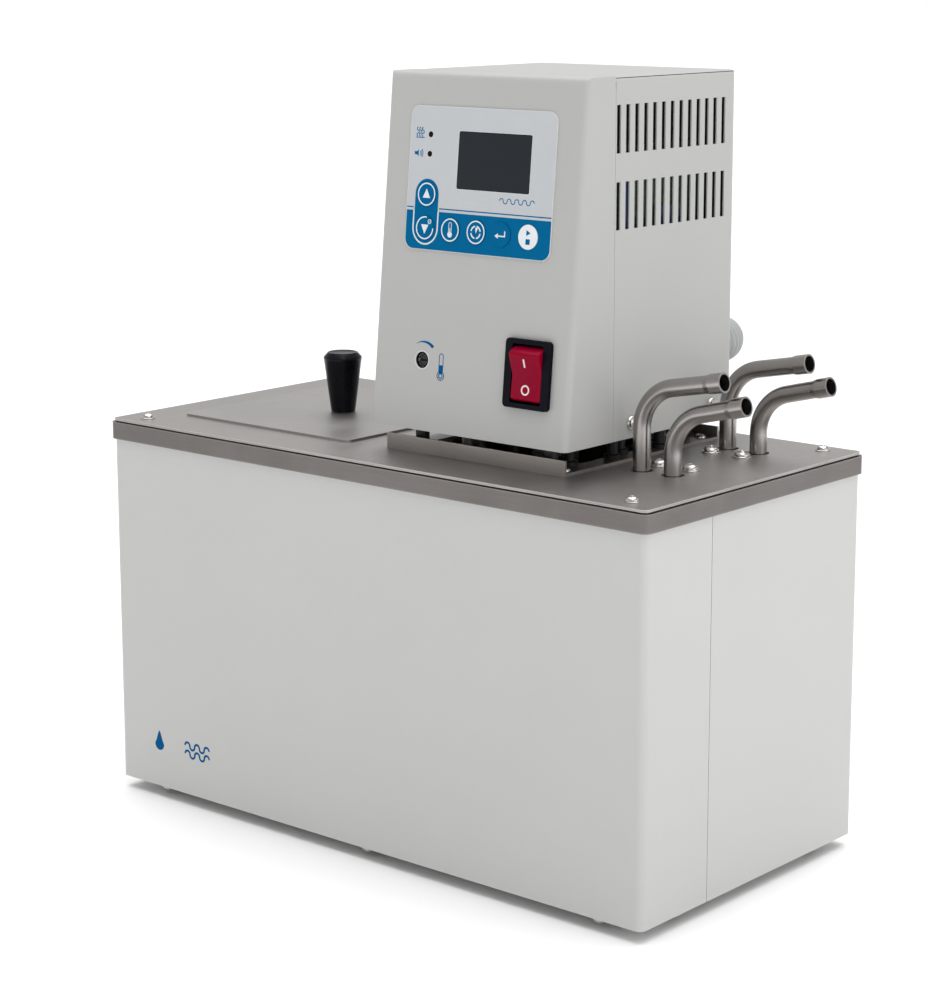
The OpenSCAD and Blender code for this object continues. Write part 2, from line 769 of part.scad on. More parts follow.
// Block of the rear cover with rounded edges at its top and back
module rear_block(inset, front_y) {
    w = head_w - 2 * inset;
    back = head_back - inset;
    top = head_top - inset;
    r = max(shell_r - inset, 0.8);
    long = 3 * shell_r + 200;
    intersection() {
        translate([head_x, back - long / 2, 0]) round_block(w, long, 600, r);
        translate([head_x, 300, top - long / 2]) rotate([90, 0, 0]) round_block(w, long, 600, r);
        translate([-300, back - long / 2, top - long / 2]) rotate([90, 0, 90])
            round_block(long, long, 600, r);
        translate([-500, front_y, head_z - inset]) cube([1000, 1000, 1000]);
    }
}

module vent_slots() {
    for (z = vent_rows, i = [0 : vent_count - 1])
        translate([head_x - head_w, vent_first_y + i * vent_pitch - vent_w / 2, z - vent_h / 2])
            cube([2 * head_w, vent_w, vent_h]);
}

module rear_cover() {
    color([0.82, 0.82, 0.79]) difference() {
        rear_block(0, -head_seam + seam_gap);
        rear_block(shell_t, -head_seam - 10);
        vent_slots();
        side_screw_places() cylinder(r = m3_r + screw_gap, h = 20, center = true);
        translate([head_x + inlet_u, head_back, inlet_z]) cube([inlet_w, 10, inlet_h], center = true);
        for (x = hose_port_x) translate([x, head_back, hose_z]) rotate([90, 0, 0])
            cylinder(r = port_r - 1.5, h = 10, center = true);
    }
}

module cover_side_screws() {
    color([0.72, 0.71, 0.69]) side_screw_places() pan_screw(m3_r, 3.4, 2.2, 7);
}

// ---- panel ----

module keypad_film() {
    color([0.76, 0.78, 0.81]) difference() {
        on_face(0, film_v) face_block(film_w, film_h, -film_t, 0, film_r);
        on_face(window_u, window_v) face_block(window_w + 0.4, window_h + 0.4, -5, 5, 0.8);
        for (key = KEYS) on_face(key[1], key[2]) rotate([90, 0, 0])
            cylinder(r = key_r + key_gap, h = 10, center = true);
        for (v = led_v) on_face(led_u, v) rotate([90, 0, 0])
            cylinder(r = led_r + 0.1, h = 10, center = true);
    }
}

module display_window() {
    color([0.06, 0.06, 0.07]) on_face(window_u, window_v)
        face_block(window_w, window_h, -film_t, window_t - film_t, 0.8);
}

module display_module() {
    rear = board_y;
    color([0.12, 0.13, 0.14]) on_face(window_u, window_v) difference() {
        face_block(window_w + 4, window_h + 4, shell_t, rear, 1);
        face_block(window_w - 2, window_h - 2, 0, shell_t + 1, 0.8);
    }
}

module status_leds() {
    color([0.25, 0.27, 0.25]) for (v = led_v) on_face(led_u, v) rotate([90, 0, 0])
        translate([0, 0, -board_y]) rotate_extrude() polygon([[0, 0], [led_r + 0.7, 0],
            [led_r + 0.7, board_y - 2.5], [led_r, board_y - 2.5], [led_r, board_y + film_t],
            [0, board_y + film_t]]);
}

// Key cap: a low disc with a bevelled rim and a collar that stops it behind the film
module key_cap(index) {
    key = KEYS[index];
    proud = 0.8;
    on_face(key[1], key[2]) rotate([90, 0, 0]) translate([0, 0, -key_back]) rotate_extrude()
        polygon([[0, 0], [key_r, 0], [key_r, key_back + proud - 0.3],
            [key_r - 0.3, key_back + proud], [0, key_back + proud]]);
}

module key_up() { color([0.02, 0.38, 0.60]) key_cap(0); }
module key_down() { color([0.02, 0.38, 0.60]) key_cap(1); }
module key_temperature() { color([0.02, 0.38, 0.60]) key_cap(2); }
module key_timer() { color([0.02, 0.38, 0.60]) key_cap(3); }
module key_enter() { color([0.02, 0.38, 0.60]) key_cap(4); }
module key_start() { color([0.92, 0.94, 0.95]) key_cap(5); }

// Board with a push switch behind each key and four spacers to the front shell
module control_board() {
    w = film_w + 8;
    h = film_h + 6;
    plunger_top = key_back + key_travel + 0.2;
    color([0.10, 0.35, 0.20]) {
        on_face(0, film_v) face_block(w, h, board_y, board_y + board_t, 2);
        for (key = KEYS) on_face(key[1], key[2]) rotate([90, 0, 0]) translate([0, 0, -board_y])
            cylinder(r = 2, h = board_y - plunger_top);
        for (x = [-1, 1], z = [-1, 1]) on_face(x * (w / 2 - 3), film_v + z * (h / 2 - 3))
            rotate([90, 0, 0]) translate([0, 0, -board_y]) cylinder(r = 2.2, h = board_y - shell_t);
    }
}

module switch_housing() {
    bezel_t = 2.2;
    color([0.05, 0.05, 0.05]) on_face(switch_u, switch_v) difference() {
        union() {
            face_block(switch_w, switch_h, -bezel_t, 0, 2);
            face_block(switch_w - 3.4, switch_h - 3.4, -1, switch_depth, 1);
            for (u = [-6, 0, 6]) translate([u - 0.4, switch_depth, -3]) cube([0.8, 8, 6]);
        }
        face_block(rocker_w + 1, rocker_h + 2.6, -10, switch_depth - 8, 0.8);
        translate([0, rocker_pivot_y, 0]) rotate([0, 90, 0])
            cylinder(r = rocker_pin_r + fit_gap, h = rocker_w + 4.4, center = true);
    }
}

// Rocker with two faces that meet in a shallow vee, tilted to its off position, on a cross pin
module switch_rocker() {
    half = rocker_h / 2;
    proud = 3.4;
    vee = 1.4;
    color([0.75, 0.05, 0.10]) on_face(switch_u, switch_v) translate([0, rocker_pivot_y, 0])
        rotate([rocker_tilt, 0, 0]) translate([0, -rocker_pivot_y, 0]) {
            rotate([90, 0, 90]) translate([0, 0, -rocker_w / 2]) linear_extrude(rocker_w)
                polygon([[-proud, half - 0.8], [-proud + vee, 0], [-proud, -half + 0.8],
                    [-proud + 0.8, -half], [3, -half + 1.5], [7, -3], [7, 3], [3, half - 1.5],
                    [-proud + 0.8, half]]);
            translate([0, rocker_pivot_y, 0]) rotate([0, 90, 0])
                cylinder(r = rocker_pin_r, h = rocker_w + 4, center = true);
        }
}

module limiter_body() {
    front = shell_t + limiter_neck_h;
    color([0.75, 0.73, 0.66]) on_face(limiter_u, limiter_v) difference() {
        union() {
            face_block(limiter_side, limiter_side, front, front + limiter_depth, 2);
            rotate([90, 0, 0]) translate([0, 0, -front]) cylinder(r = limiter_neck_r, h = limiter_neck_h);
        }
        rotate([90, 0, 0]) translate([0, 0, -shell_t - spindle_l - 1])
            cylinder(r = limiter_spindle_r + fit_gap, h = 2 * spindle_l);
    }
}

// Slotted spindle just behind the hole in the front shell
module limiter_spindle() {
    color([0.10, 0.10, 0.10]) on_face(limiter_u, limiter_v) difference() {
        rotate([90, 0, 0]) translate([0, 0, -shell_t - spindle_l])
            cylinder(r = limiter_spindle_r, h = spindle_l);
        translate([-4, shell_t - 1, -0.5]) cube([8, 2.2, 1]);
    }
}

// ---- inside the head ----

module power_board() {
    color([0.12, 0.36, 0.20]) {
        translate([power_x, -12, motor_z + 14]) cube([board_t, 72, 112]);
        for (y = [-6, 54]) translate([power_x + board_t, y, motor_z])
            translate([-5, -3, 0]) cube([5, 6, 14]);
    }
}

module power_parts() {
    face_x = power_x;
    color([0.15, 0.25, 0.50]) {
        for (y = [0, 16]) translate([face_x, y, motor_z + 96]) rotate([0, -90, 0])
            cylinder(r = 6.5, h = 12);
        translate([face_x - 14, 30, motor_z + 84]) cube([14, 24, 30]);
        translate([face_x + board_t, -4, motor_z + 90]) cube([4, 6, 26]);
        translate([face_x + board_t, 24, motor_z + 88]) cube([3, 14, 10]);
    }
}

module motor_housing() {
    color([0.35, 0.36, 0.38]) translate([axis_x, axis_y, motor_z]) difference() {
        cylinder(r = motor_r, h = motor_h - motor_cap_t);
        translate([0, 0, motor_cap_t]) cylinder(r = motor_r - motor_wall, h = motor_h);
        translate([0, 0, motor_cap_t - bearing_h]) cylinder(r = bearing_r + fit_gap, h = motor_h);
    }
}

module motor_cap() {
    color([0.35, 0.36, 0.38]) translate([axis_x, axis_y, motor_z + motor_h - motor_cap_t])
        difference() {
            cylinder(r = motor_r, h = motor_cap_t);
            translate([0, 0, -eps]) cylinder(r = bearing_r + fit_gap, h = bearing_h + 2 * eps);
        }
}

module motor_stator() {
    clear = 6;
    color([0.45, 0.30, 0.18]) translate([axis_x, axis_y, motor_z + motor_cap_t + clear])
        difference() {
            cylinder(r = motor_r - motor_wall - fit_gap, h = motor_h - 2 * (motor_cap_t + clear));
            translate([0, 0, -eps]) cylinder(r = stator_r, h = motor_h);
        }
}

module motor_rotor() {
    clear = 8;
    color([0.50, 0.50, 0.52]) translate([axis_x, axis_y, motor_z + motor_cap_t + clear])
        difference() {
            cylinder(r = rotor_r, h = motor_h - 2 * (motor_cap_t + clear));
            translate([0, 0, -eps]) cylinder(r = shaft_r, h = motor_h);
        }
}

// Two ball bearings in the motor and a sleeve at the foot of the pump column
module bearings() {
    sleeve_h = 8;
    color([0.70, 0.70, 0.70]) for (z = [motor_z, motor_z + motor_h - bearing_h])
        translate([axis_x, axis_y, z]) washer(shaft_r + fit_gap, bearing_r, bearing_h);
    color([0.70, 0.70, 0.70]) translate([axis_x, axis_y, pump_z + pump_h / 2])
        washer(shaft_r + fit_gap, column_r - column_wall - fit_gap, sleeve_h);
}

module drive_shaft() {
    low = pump_z - impeller_h / 2;
    color([0.72, 0.72, 0.73]) translate([axis_x, axis_y, low])
        cylinder(r = shaft_r, h = fan_z + fan_h + 2 - low);
}

module cooling_fan() {
    blades = 7;
    hub_r = 7;
    color([0.15, 0.15, 0.16]) translate([axis_x, axis_y, fan_z]) difference() {
        union() {
            cylinder(r = hub_r, h = fan_h);
            intersection() {
                washer(hub_r - 1, fan_r, fan_h);
                for (i = [0 : blades - 1]) rotate([0, 0, i * 360 / blades])
                    translate([hub_r - 1, 0, fan_h / 2]) rotate([35, 0, 0])
                        translate([0, -9, -0.6]) cube([fan_r, 18, 1.2]);
            }
        }
        translate([0, 0, -eps]) cylinder(r = shaft_r, h = fan_h + 2 * eps);
    }
}

// ---- pump, heater and sensors ----

module pump_column() {
    flange_t = 3;
    foot_z = pump_z + pump_h / 2;
    color([0.60, 0.59, 0.57]) translate([axis_x, axis_y, 0]) {
        translate([0, 0, foot_z]) pipe(column_r, column_wall, base_z - foot_z);
        translate([0, 0, base_z - flange_t]) washer(column_r, column_r + 8, flange_t);
    }
}

module pump_housing() {
    inner_r = pump_r - pump_wall;
    color([0.16, 0.16, 0.17]) difference() {
        union() {
            translate([axis_x, axis_y, pump_z - pump_h / 2]) cylinder(r = pump_r, h = pump_h);
            translate([axis_x, axis_y, pump_z]) cylinder(r = column_r + 3, h = pump_h / 2 + 6);
            translate([axis_x, pair_y[0], pump_z]) rotate([0, 90, 0])
                cylinder(r = outlet_r, h = pump_r + 6);
        }
        translate([axis_x, axis_y, pump_z - pump_h / 2 - eps])
            cylinder(r = inner_r, h = pump_h - pump_wall + eps);
        translate([axis_x, axis_y, pump_z + pump_h / 2])
            cylinder(r = column_r + fit_gap, h = pump_h);
        translate([axis_x, axis_y, pump_z]) cylinder(r = shaft_r + 1, h = pump_h);
        translate([axis_x, pair_y[0], pump_z]) rotate([0, 90, 0])
            cylinder(r = tube_r + fit_gap, h = pump_r + 10);
    }
}

module pump_floor() {
    suction_r = 10;
    color([0.16, 0.16, 0.17]) translate([axis_x, axis_y, pump_z - pump_h / 2 - pump_floor_t])
        washer(suction_r, pump_r, pump_floor_t);
}

module impeller() {
    vanes = 6;
    hub_r = 6;
    disc_t = 1.6;
    color([0.80, 0.78, 0.70]) translate([axis_x, axis_y, pump_z - impeller_h / 2]) difference() {
        union() {
            cylinder(r = hub_r, h = impeller_h);
            translate([0, 0, impeller_h - disc_t]) cylinder(r = impeller_r, h = disc_t);
            for (i = [0 : vanes - 1]) rotate([0, 0, i * 360 / vanes])
                translate([hub_r - 1, -0.7, 0]) cube([impeller_r - hub_r - 1, 1.4, impeller_h]);
        }
        translate([0, 0, -eps]) cylinder(r = shaft_r, h = impeller_h + 2 * eps);
    }
}

module heater_leg_places() {
    reach_x = heater_ring_r * cos(heater_ends) + heater_bend_r * sin(heater_ends);
    reach_y = heater_ring_r * sin(heater_ends) - heater_bend_r * cos(heater_ends);
    for (side = [-1, 1]) translate([axis_x - reach_x, axis_y + side * reach_y, 0]) children();
}

// Heater: a ring round the pump, two bends and two legs up to the head
module heater() {
    leg_z = heater_z + heater_bend_r;
    color([0.50, 0.48, 0.46]) {
        translate([axis_x, axis_y, heater_z]) rotate([0, 0, heater_ends - 180])
            rotate_extrude(angle = 360 - 2 * heater_ends) translate([heater_ring_r, 0])
                circle(r = heater_r);
        for (side = [-1, 1]) translate([axis_x, axis_y, heater_z])
            rotate([0, 0, side * (180 - heater_ends)]) translate([heater_ring_r, 0, 0])
                rotate([0, 0, side * 90]) translate([bend_joint, 0, 0]) heater_bend();
        heater_leg_places() translate([0, 0, leg_z + bend_joint])
            cylinder(r = heater_r, h = heater_top - leg_z);
        heater_leg_places() translate([0, 0, heater_top + 2 * bend_joint])
            cylinder(r = 1.5, h = 6);
    }
}

// Quarter bend of the heater tube from +X to +Z
module heater_bend() {
    translate([0, 0, heater_bend_r]) rotate([90, 0, 0]) rotate([0, 0, -90])
        rotate_extrude(angle = 90) translate([heater_bend_r, 0]) circle(r = heater_r);
}

// Control probe and overheat probe, each with a fixing collar on the head's base
module probes() {
    color([0.70, 0.70, 0.69]) for (place = [probe_xy, limit_probe_xy])
        translate([place[0], place[1], 0]) {
            translate([0, 0, probe_end_z]) cylinder(r = probe_r, h = motor_z + 8 - probe_end_z);
            translate([0, 0, motor_z]) cylinder(r = 4, h = 5);
        }
}

module float_stem() {
    low = float_z - float_clip_t;
    color([0.70, 0.70, 0.69]) translate([float_xy[0], float_xy[1], 0]) {
        translate([0, 0, low]) cylinder(r = float_stem_r, h = motor_z + 8 - low);
        translate([0, 0, low]) cylinder(r = 5, h = float_clip_t);
        translate([0, 0, float_z + float_h + float_travel + seat_gap])
            cylinder(r = 5, h = float_clip_t);
        translate([0, 0, motor_z]) cylinder(r = 5, h = 4);
    }
}

module float() {
    bevel = 2;
    bore = float_stem_r + 2 * fit_gap;
    color([0.88, 0.86, 0.78]) translate([float_xy[0], float_xy[1], float_z]) rotate_extrude()
        polygon([[bore, 0], [float_r - bevel, 0], [float_r, bevel], [float_r, float_h - bevel],
            [float_r - bevel, float_h], [bore, float_h]]);
}

// ---- back of the head ----

module mains_inlet() {
    flange_t = 2;
    body_l = 22;
    color([0.06, 0.06, 0.06]) translate([head_x + inlet_u, head_back, inlet_z])
        rotate([0, 0, 180]) difference() {
            union() {
                translate([0, -flange_t, 0]) translate([0, flange_t, 0])
                    face_block(inlet_w + 8, inlet_h + 6, -flange_t, 0, 2);
                face_block(inlet_w - 1, inlet_h - 1, -flange_t, body_l, 2);
            }
            face_block(inlet_recess_w, inlet_recess_h, -flange_t - 1, inlet_recess_d, 2);
            for (side = [-1, 1]) translate([side * (inlet_w / 2 + 1.5), 0, 0]) rotate([90, 0, 0])
                cylinder(r = 1.2, h = 20, center = true);
        }
}

// Ribbed hose that loops from one port to the other, with the two ports that hold it
module rear_hose() {
    bend_r = (hose_port_x[0] - hose_port_x[1]) / 2;
    color([0.72, 0.74, 0.76]) translate([0, head_back, hose_z]) {
        for (x = hose_port_x) translate([x, 0, 0]) rotate([-90, 0, 0]) {
            pipe(hose_r, hose_wall, hose_straight);
            translate([0, 0, -6]) pipe(port_r - 1.5 - fit_gap, 1.5, hose_straight);
        }
        translate([hose_port_x[1] + bend_r, hose_straight, 0])
            rotate_extrude(angle = 180) translate([bend_r, 0]) difference() {
                circle(r = hose_r);
                circle(r = hose_r - hose_wall);
            }
    }
}

front_casing();
rear_casing();
base_pan();
feet();
foot_screws();
casing_screws();
tank();
insulation();
cover_gasket();
cover_plate();
cover_screws();
lid();
lid_knob();
lid_knob_screw();
tube_bracket();
bracket_screws();
pump_outlet_tube();
pump_return_tube();
cooling_coil();
head_tray();
tray_screws();
head_posts();
head_base();
front_shell();
rear_cover();
cover_side_screws();
keypad_film();
display_window();
display_module();
status_leds();
key_up();
key_down();
key_temperature();
key_timer();
key_enter();
key_start();
control_board();
switch_housing();
switch_rocker();
limiter_body();
limiter_spindle();
power_board();
power_parts();
motor_housing();
motor_cap();
motor_stator();
motor_rotor();
bearings();
drive_shaft();
cooling_fan();
pump_column();
pump_housing();
pump_floor();
impeller();
heater();
probes();
float_stem();
float();
mains_inlet();
rear_hose();
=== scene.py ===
"""Looks of a heated circulating water bath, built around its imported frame.

Units are metres. X runs along the bath, the control panel faces -Y, and Z points up.
"""

import logging
import math
from collections.abc import Callable
from dataclasses import dataclass
from enum import Enum

import bpy
from mathutils import Matrix, Vector


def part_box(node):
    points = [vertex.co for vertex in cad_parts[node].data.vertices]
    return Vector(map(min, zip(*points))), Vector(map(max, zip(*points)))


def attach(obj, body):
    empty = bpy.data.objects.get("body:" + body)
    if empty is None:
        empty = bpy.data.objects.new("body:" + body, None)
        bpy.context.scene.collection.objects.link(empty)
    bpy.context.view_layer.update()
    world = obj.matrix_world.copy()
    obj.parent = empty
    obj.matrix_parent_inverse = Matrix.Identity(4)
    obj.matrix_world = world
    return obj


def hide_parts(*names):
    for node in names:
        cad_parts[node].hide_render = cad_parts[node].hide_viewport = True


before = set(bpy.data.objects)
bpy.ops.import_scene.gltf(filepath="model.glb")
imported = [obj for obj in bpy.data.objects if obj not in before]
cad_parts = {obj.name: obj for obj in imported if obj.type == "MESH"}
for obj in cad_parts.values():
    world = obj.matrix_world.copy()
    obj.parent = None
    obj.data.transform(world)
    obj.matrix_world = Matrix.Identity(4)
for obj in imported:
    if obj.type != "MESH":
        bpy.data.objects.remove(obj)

LOG = logging.getLogger("water_bath")
MM = 0.001
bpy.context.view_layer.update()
Colour = tuple[float, float, float]
Point = tuple[float, float, float]
Socket = bpy.types.NodeSocket
Sockets = bpy.types.bpy_prop_collection
Feed = Socket | float | tuple[float, ...]


# ---- node trees ----


class Graph:
    """A node tree that is being wired up."""

    def __init__(self, tree: bpy.types.NodeTree) -> None:
        """Keeps the tree that nodes are added to."""
        self.tree = tree

    def add(self, kind: str, inputs: dict | None = None, **settings: object) -> bpy.types.Node:
        """Adds one node.

        Args:
            kind: the node's type.
            inputs: socket name or number to a value, or to the socket that feeds it.
            **settings: the node's own properties.

        Returns:
            The new node.
        """
        node = self.tree.nodes.new(kind)
        for name, value in settings.items():
            setattr(node, name, value)
        for name, value in (inputs or {}).items():
            if isinstance(value, bpy.types.NodeSocket):
                self.tree.links.new(value, node.inputs[name])
            else:
                node.inputs[name].default_value = value
        return node

    def math(self, operation: str, *values: Feed, clamp: bool = False) -> Socket:
        """Adds a Math node.

        Args:
            operation: the node's operation.
            *values: numbers, or the sockets that feed it.
            clamp: whether the result stays within 0 and 1.

        Returns:
            The result.
        """
        node = self.add("ShaderNodeMath", dict(enumerate(values)), operation=operation)
        node.use_clamp = clamp
        return node.outputs[0]

    def vector_math(self, operation: str, first: Feed, second: Feed) -> bpy.types.Node:
        """Adds a Vector Math node of two vectors."""
        return self.add("ShaderNodeVectorMath", {0: first, 1: second}, operation=operation)

    def noise(self, place: Socket, scale: Feed, detail: float, roughness: float = 0.5) -> Socket:
        """Adds a Noise texture.

        Args:
            place: the place that is looked up.
            scale: the texture's scale.
            detail: layers of finer noise.
            roughness: strength of the finer layers.

        Returns:
            The noise, about 0.5.
        """
        inputs = {"Vector": place, "Scale": scale, "Detail": detail, "Roughness": roughness}
        return self.add("ShaderNodeTexNoise", inputs).outputs[0]

    def cells(self, place: Socket, scale: Feed, feature: str = "F1", randomness: float = 1.0) -> Socket:
        """Adds a Voronoi texture.

        Args:
            place: the place that is looked up.
            scale: the texture's scale.
            feature: which of the cells' features is wanted.
            randomness: how uneven the cells are.

        Returns:
            The distance to the feature.
        """
        inputs = {"Vector": place, "Scale": scale, "Randomness": randomness}
        return self.add("ShaderNodeTexVoronoi", inputs, feature=feature).outputs[0]

    def blend(self, share: Feed, first: Feed, second: Feed, blend: str = "MIX") -> Socket:
        """Adds a colour Mix node.

        Args:
            share: how much of the second colour is used.
            first: the colour at 0.
            second: the colour at 1.
            blend: how the two are mixed.

        Returns:
            The mixed colour.
        """
        node = self.add("ShaderNodeMix", data_type="RGBA", blend_type=blend)
        for socket, value in zip((node.inputs[0], node.inputs[6], node.inputs[7]), (share, first, second)):
            if isinstance(value, Socket):
                self.tree.links.new(value, socket)
            else:
                socket.default_value = value
        return node.outputs[2]

    def stretch(self, low: float, high: float, value: Socket) -> Socket:
        """Maps 0 to 1 onto low to high."""
        return self.add("ShaderNodeMapRange", {"Value": value, "To Min": low, "To Max": high}).outputs[0]


class Effect(Enum):
    """Shared shader node groups, built once and placed in each finish with its own values."""

    GRAIN = "surface_grain"
    BRUSHING = "brushed_grain"
    # the edge mask serves rubbed and ground wear, and the rocker's painted edge highlight
    EDGES = "edge_wear_and_highlight"
    DUST = "dust_and_smudges"


SOCKETS = {
    Effect.GRAIN: (("Vector", "Size", "Depth"), ("Height", "Tone")),
    Effect.BRUSHING: (("Vector", "Fineness", "Length"), ("Height", "Tone")),
    Effect.EDGES: (("Radius",), ("Edge",)),
    Effect.DUST: (("Vector", "Size"), ("Dust", "Smudge")),
}


def effect_group(effect: Effect) -> bpy.types.NodeTree:
    """Finds or builds the node group of one shared effect.

    Args:
        effect: which effect.

    Returns:
        The shader node group.
    """
    tree = bpy.data.node_groups.get(effect.value)
    if tree:
        return tree
    tree = bpy.data.node_groups.new(effect.value, "ShaderNodeTree")
    taken, given = SOCKETS[effect]
    for name in taken:
        kind = "NodeSocketVector" if name == "Vector" else "NodeSocketFloat"
        tree.interface.new_socket(name, in_out="INPUT", socket_type=kind)
    for name in given:
        tree.interface.new_socket(name, in_out="OUTPUT", socket_type="NodeSocketFloat")
    g = Graph(tree)
    source = g.add("NodeGroupInput").outputs
    results = GROUP_WIRING[effect](g, source)
    g.add("NodeGroupOutput", dict(zip(given, results)))
    return tree


def wire_grain(g: Graph, source: Sockets) -> list[Socket]:
    """Wires fine moulded or sprayed grain: soft bumps with finer speckle on them.

    Args:
        g: the group's graph.
        source: the group's inputs, by name.

    Returns:
        The group's results, in order.
    """
    speck_fineness, speck_share = 3.1, 0.35
    scale = g.math("DIVIDE", 1.0, source["Size"])
    soft = g.noise(source["Vector"], scale, 3.0, 0.55)
    speck = g.cells(source["Vector"], g.math("MULTIPLY", scale, speck_fineness), "SMOOTH_F1")
    height = g.math("ADD", soft, g.math("MULTIPLY", speck, speck_share))
    return [g.math("MULTIPLY", height, source["Depth"]), soft]


def wire_brushing(g: Graph, source: Sockets) -> list[Socket]:
    """Wires long scratches that run along X, and along Y on the faces that look along X.

    Args:
        g: the group's graph.
        source: the group's inputs, by name.

    Returns:
        The group's results, in order.
    """
    looks_along_x = 0.7
    fine, long = (g.math("DIVIDE", 1.0, source[name]) for name in ("Fineness", "Length"))
    towards = g.add("ShaderNodeSeparateXYZ", {0: g.add("ShaderNodeTexCoord").outputs["Normal"]}).outputs[0]
    side = g.math("GREATER_THAN", g.math("ABSOLUTE", towards), looks_along_x)
    tones = []
    for along in ((long, fine, fine), (fine, long, fine)):
        scale = g.add("ShaderNodeCombineXYZ", dict(enumerate(along))).outputs[0]
        stretched = g.vector_math("MULTIPLY", source["Vector"], scale).outputs[0]
        tones.append(g.noise(stretched, 1.0, 4.0, 0.65))
    tone = g.add("ShaderNodeMix", {0: side, 2: tones[0], 3: tones[1]}, data_type="FLOAT").outputs[0]
    return [tone, tone]


def wire_edges(g: Graph, source: Sockets) -> list[Socket]:
    """Wires a mask that is 1 on edges and 0 on flat faces.

    Args:
        g: the group's graph.
        source: the group's inputs, by name.

    Returns:
        The group's results, in order.
    """
    gain = 5.0
    rounded = g.add("ShaderNodeBevel", {"Radius": source["Radius"]}, samples=4).outputs[0]
    flat = g.add("ShaderNodeNewGeometry").outputs["Normal"]
    same = g.vector_math("DOT_PRODUCT", rounded, flat).outputs["Value"]
    return [g.math("MULTIPLY", g.math("SUBTRACT", 1.0, same), gain, clamp=True)]


def wire_dust(g: Graph, source: Sockets) -> list[Socket]:
    """Wires thin dust specks and wide smudges.

    Args:
        g: the group's graph.
        source: the group's inputs, by name.

    Returns:
        The group's results, in order.
    """
    speck_fineness, speck_size = 14.0, 0.055
    scale = g.math("DIVIDE", 1.0, source["Size"])
    wide = g.noise(source["Vector"], scale, 5.0, 0.6)
    smudge = g.add("ShaderNodeMapRange", {"Value": wide, "From Min": 0.35, "From Max": 0.7}).outputs[0]
    specks = g.cells(source["Vector"], g.math("MULTIPLY", scale, speck_fineness))
    return [g.math("LESS_THAN", specks, speck_size), smudge]


GROUP_WIRING = {
    Effect.GRAIN: wire_grain,
    Effect.BRUSHING: wire_brushing,
    Effect.EDGES: wire_edges,
    Effect.DUST: wire_dust,
}


# ---- finishes ----


@dataclass(frozen=True)
class Finish:
    """A surface finish: its colour and gloss, and the record's slot that it belongs to."""

    slot: str
    colour: Colour
    roughness: float = 0.5
    metallic: float = 0.0
    coat: float = 0.0
    coat_roughness: float = 0.1
    specular: float = 0.5

    def material(self) -> bpy.types.Material:
        """Finds or builds this finish's material.

        Returns:
            The material, named after the slot and the class.
        """
        name = f"{self.slot}_{type(self).__name__.lower()}_{self.key()}"
        made = bpy.data.materials.get(name)
        if made:
            return made
        made = bpy.data.materials.new(name)
        made.use_nodes = True
        g = Graph(made.node_tree)
        shader = made.node_tree.nodes["Principled BSDF"]
        for socket, value in (
            ("Base Color", (*self.colour, 1.0)),
            ("Roughness", self.roughness),
            ("Metallic", self.metallic),
            ("Coat Weight", self.coat),
            ("Coat Roughness", self.coat_roughness),
            ("Specular IOR Level", self.specular),
        ):
            shader.inputs[socket].default_value = value
        self.wire(g, shader, g.add("ShaderNodeTexCoord").outputs["Object"])
        return made

    def key(self) -> str:
        """Tells two finishes of one class and slot apart."""
        return "".join(f"{round(c * 255):02x}" for c in self.colour)

    def wire(self, g: Graph, shader: bpy.types.Node, place: Socket) -> None:
        """Adds the finish's own pattern. The plain finish has faint smudges only."""
        self.soil(g, shader, place, 0.03, self.tone(1.0))

    def use(self, g: Graph, effect: Effect, inputs: dict) -> bpy.types.Node:
        """Places a shared effect in this material."""
        return g.add("ShaderNodeGroup", inputs, node_tree=effect_group(effect))

    def bump(self, g: Graph, shader: bpy.types.Node, height: Socket, distance: float) -> None:
        """Feeds a relief, with its depth in metres, to the shader's normal.

        Args:
            g: the material's graph.
            shader: the Principled shader.
            height: the relief, 0 to 1.
            distance: its depth in metres.
        """
        node = g.add("ShaderNodeBump", {"Height": height, "Distance": distance, "Strength": 1.0})
        g.tree.links.new(node.outputs[0], shader.inputs["Normal"])

    def soil(self, g: Graph, shader: bpy.types.Node, place: Socket, amount: float, colour: Feed,
             size: float = 0.05) -> None:
        """Darkens the colour and dulls the gloss a little in wide smudges, with fine dust.

        Args:
            g: the material's graph.
            shader: the Principled shader.
            place: object coordinates.
            amount: how strong the change is.
            colour: the base colour, a value or a socket.
            size: width of a smudge.
        """
        dust_colour, dulling = (0.6, 0.58, 0.55, 1.0), 1.5
        dust = self.use(g, Effect.DUST, {"Vector": place, "Size": size})
        shade = g.stretch(1.0, 1.0 - amount, dust.outputs["Smudge"])
        tinted = g.blend(1.0, colour, shade, "MULTIPLY")
        specks = g.math("MULTIPLY", dust.outputs["Dust"], amount)
        g.tree.links.new(g.blend(specks, tinted, dust_colour), shader.inputs["Base Color"])
        dullest = min(self.roughness + amount * dulling, 1.0)
        gloss = g.stretch(self.roughness, dullest, dust.outputs["Smudge"])
        g.tree.links.new(gloss, shader.inputs["Roughness"])

    def tone(self, gain: float, lift: float = 0.0, most: float = 1.0) -> tuple[float, ...]:
        """The finish's colour made lighter or darker, with alpha."""
        return (*(min(c * gain + lift, most) for c in self.colour), 1.0)


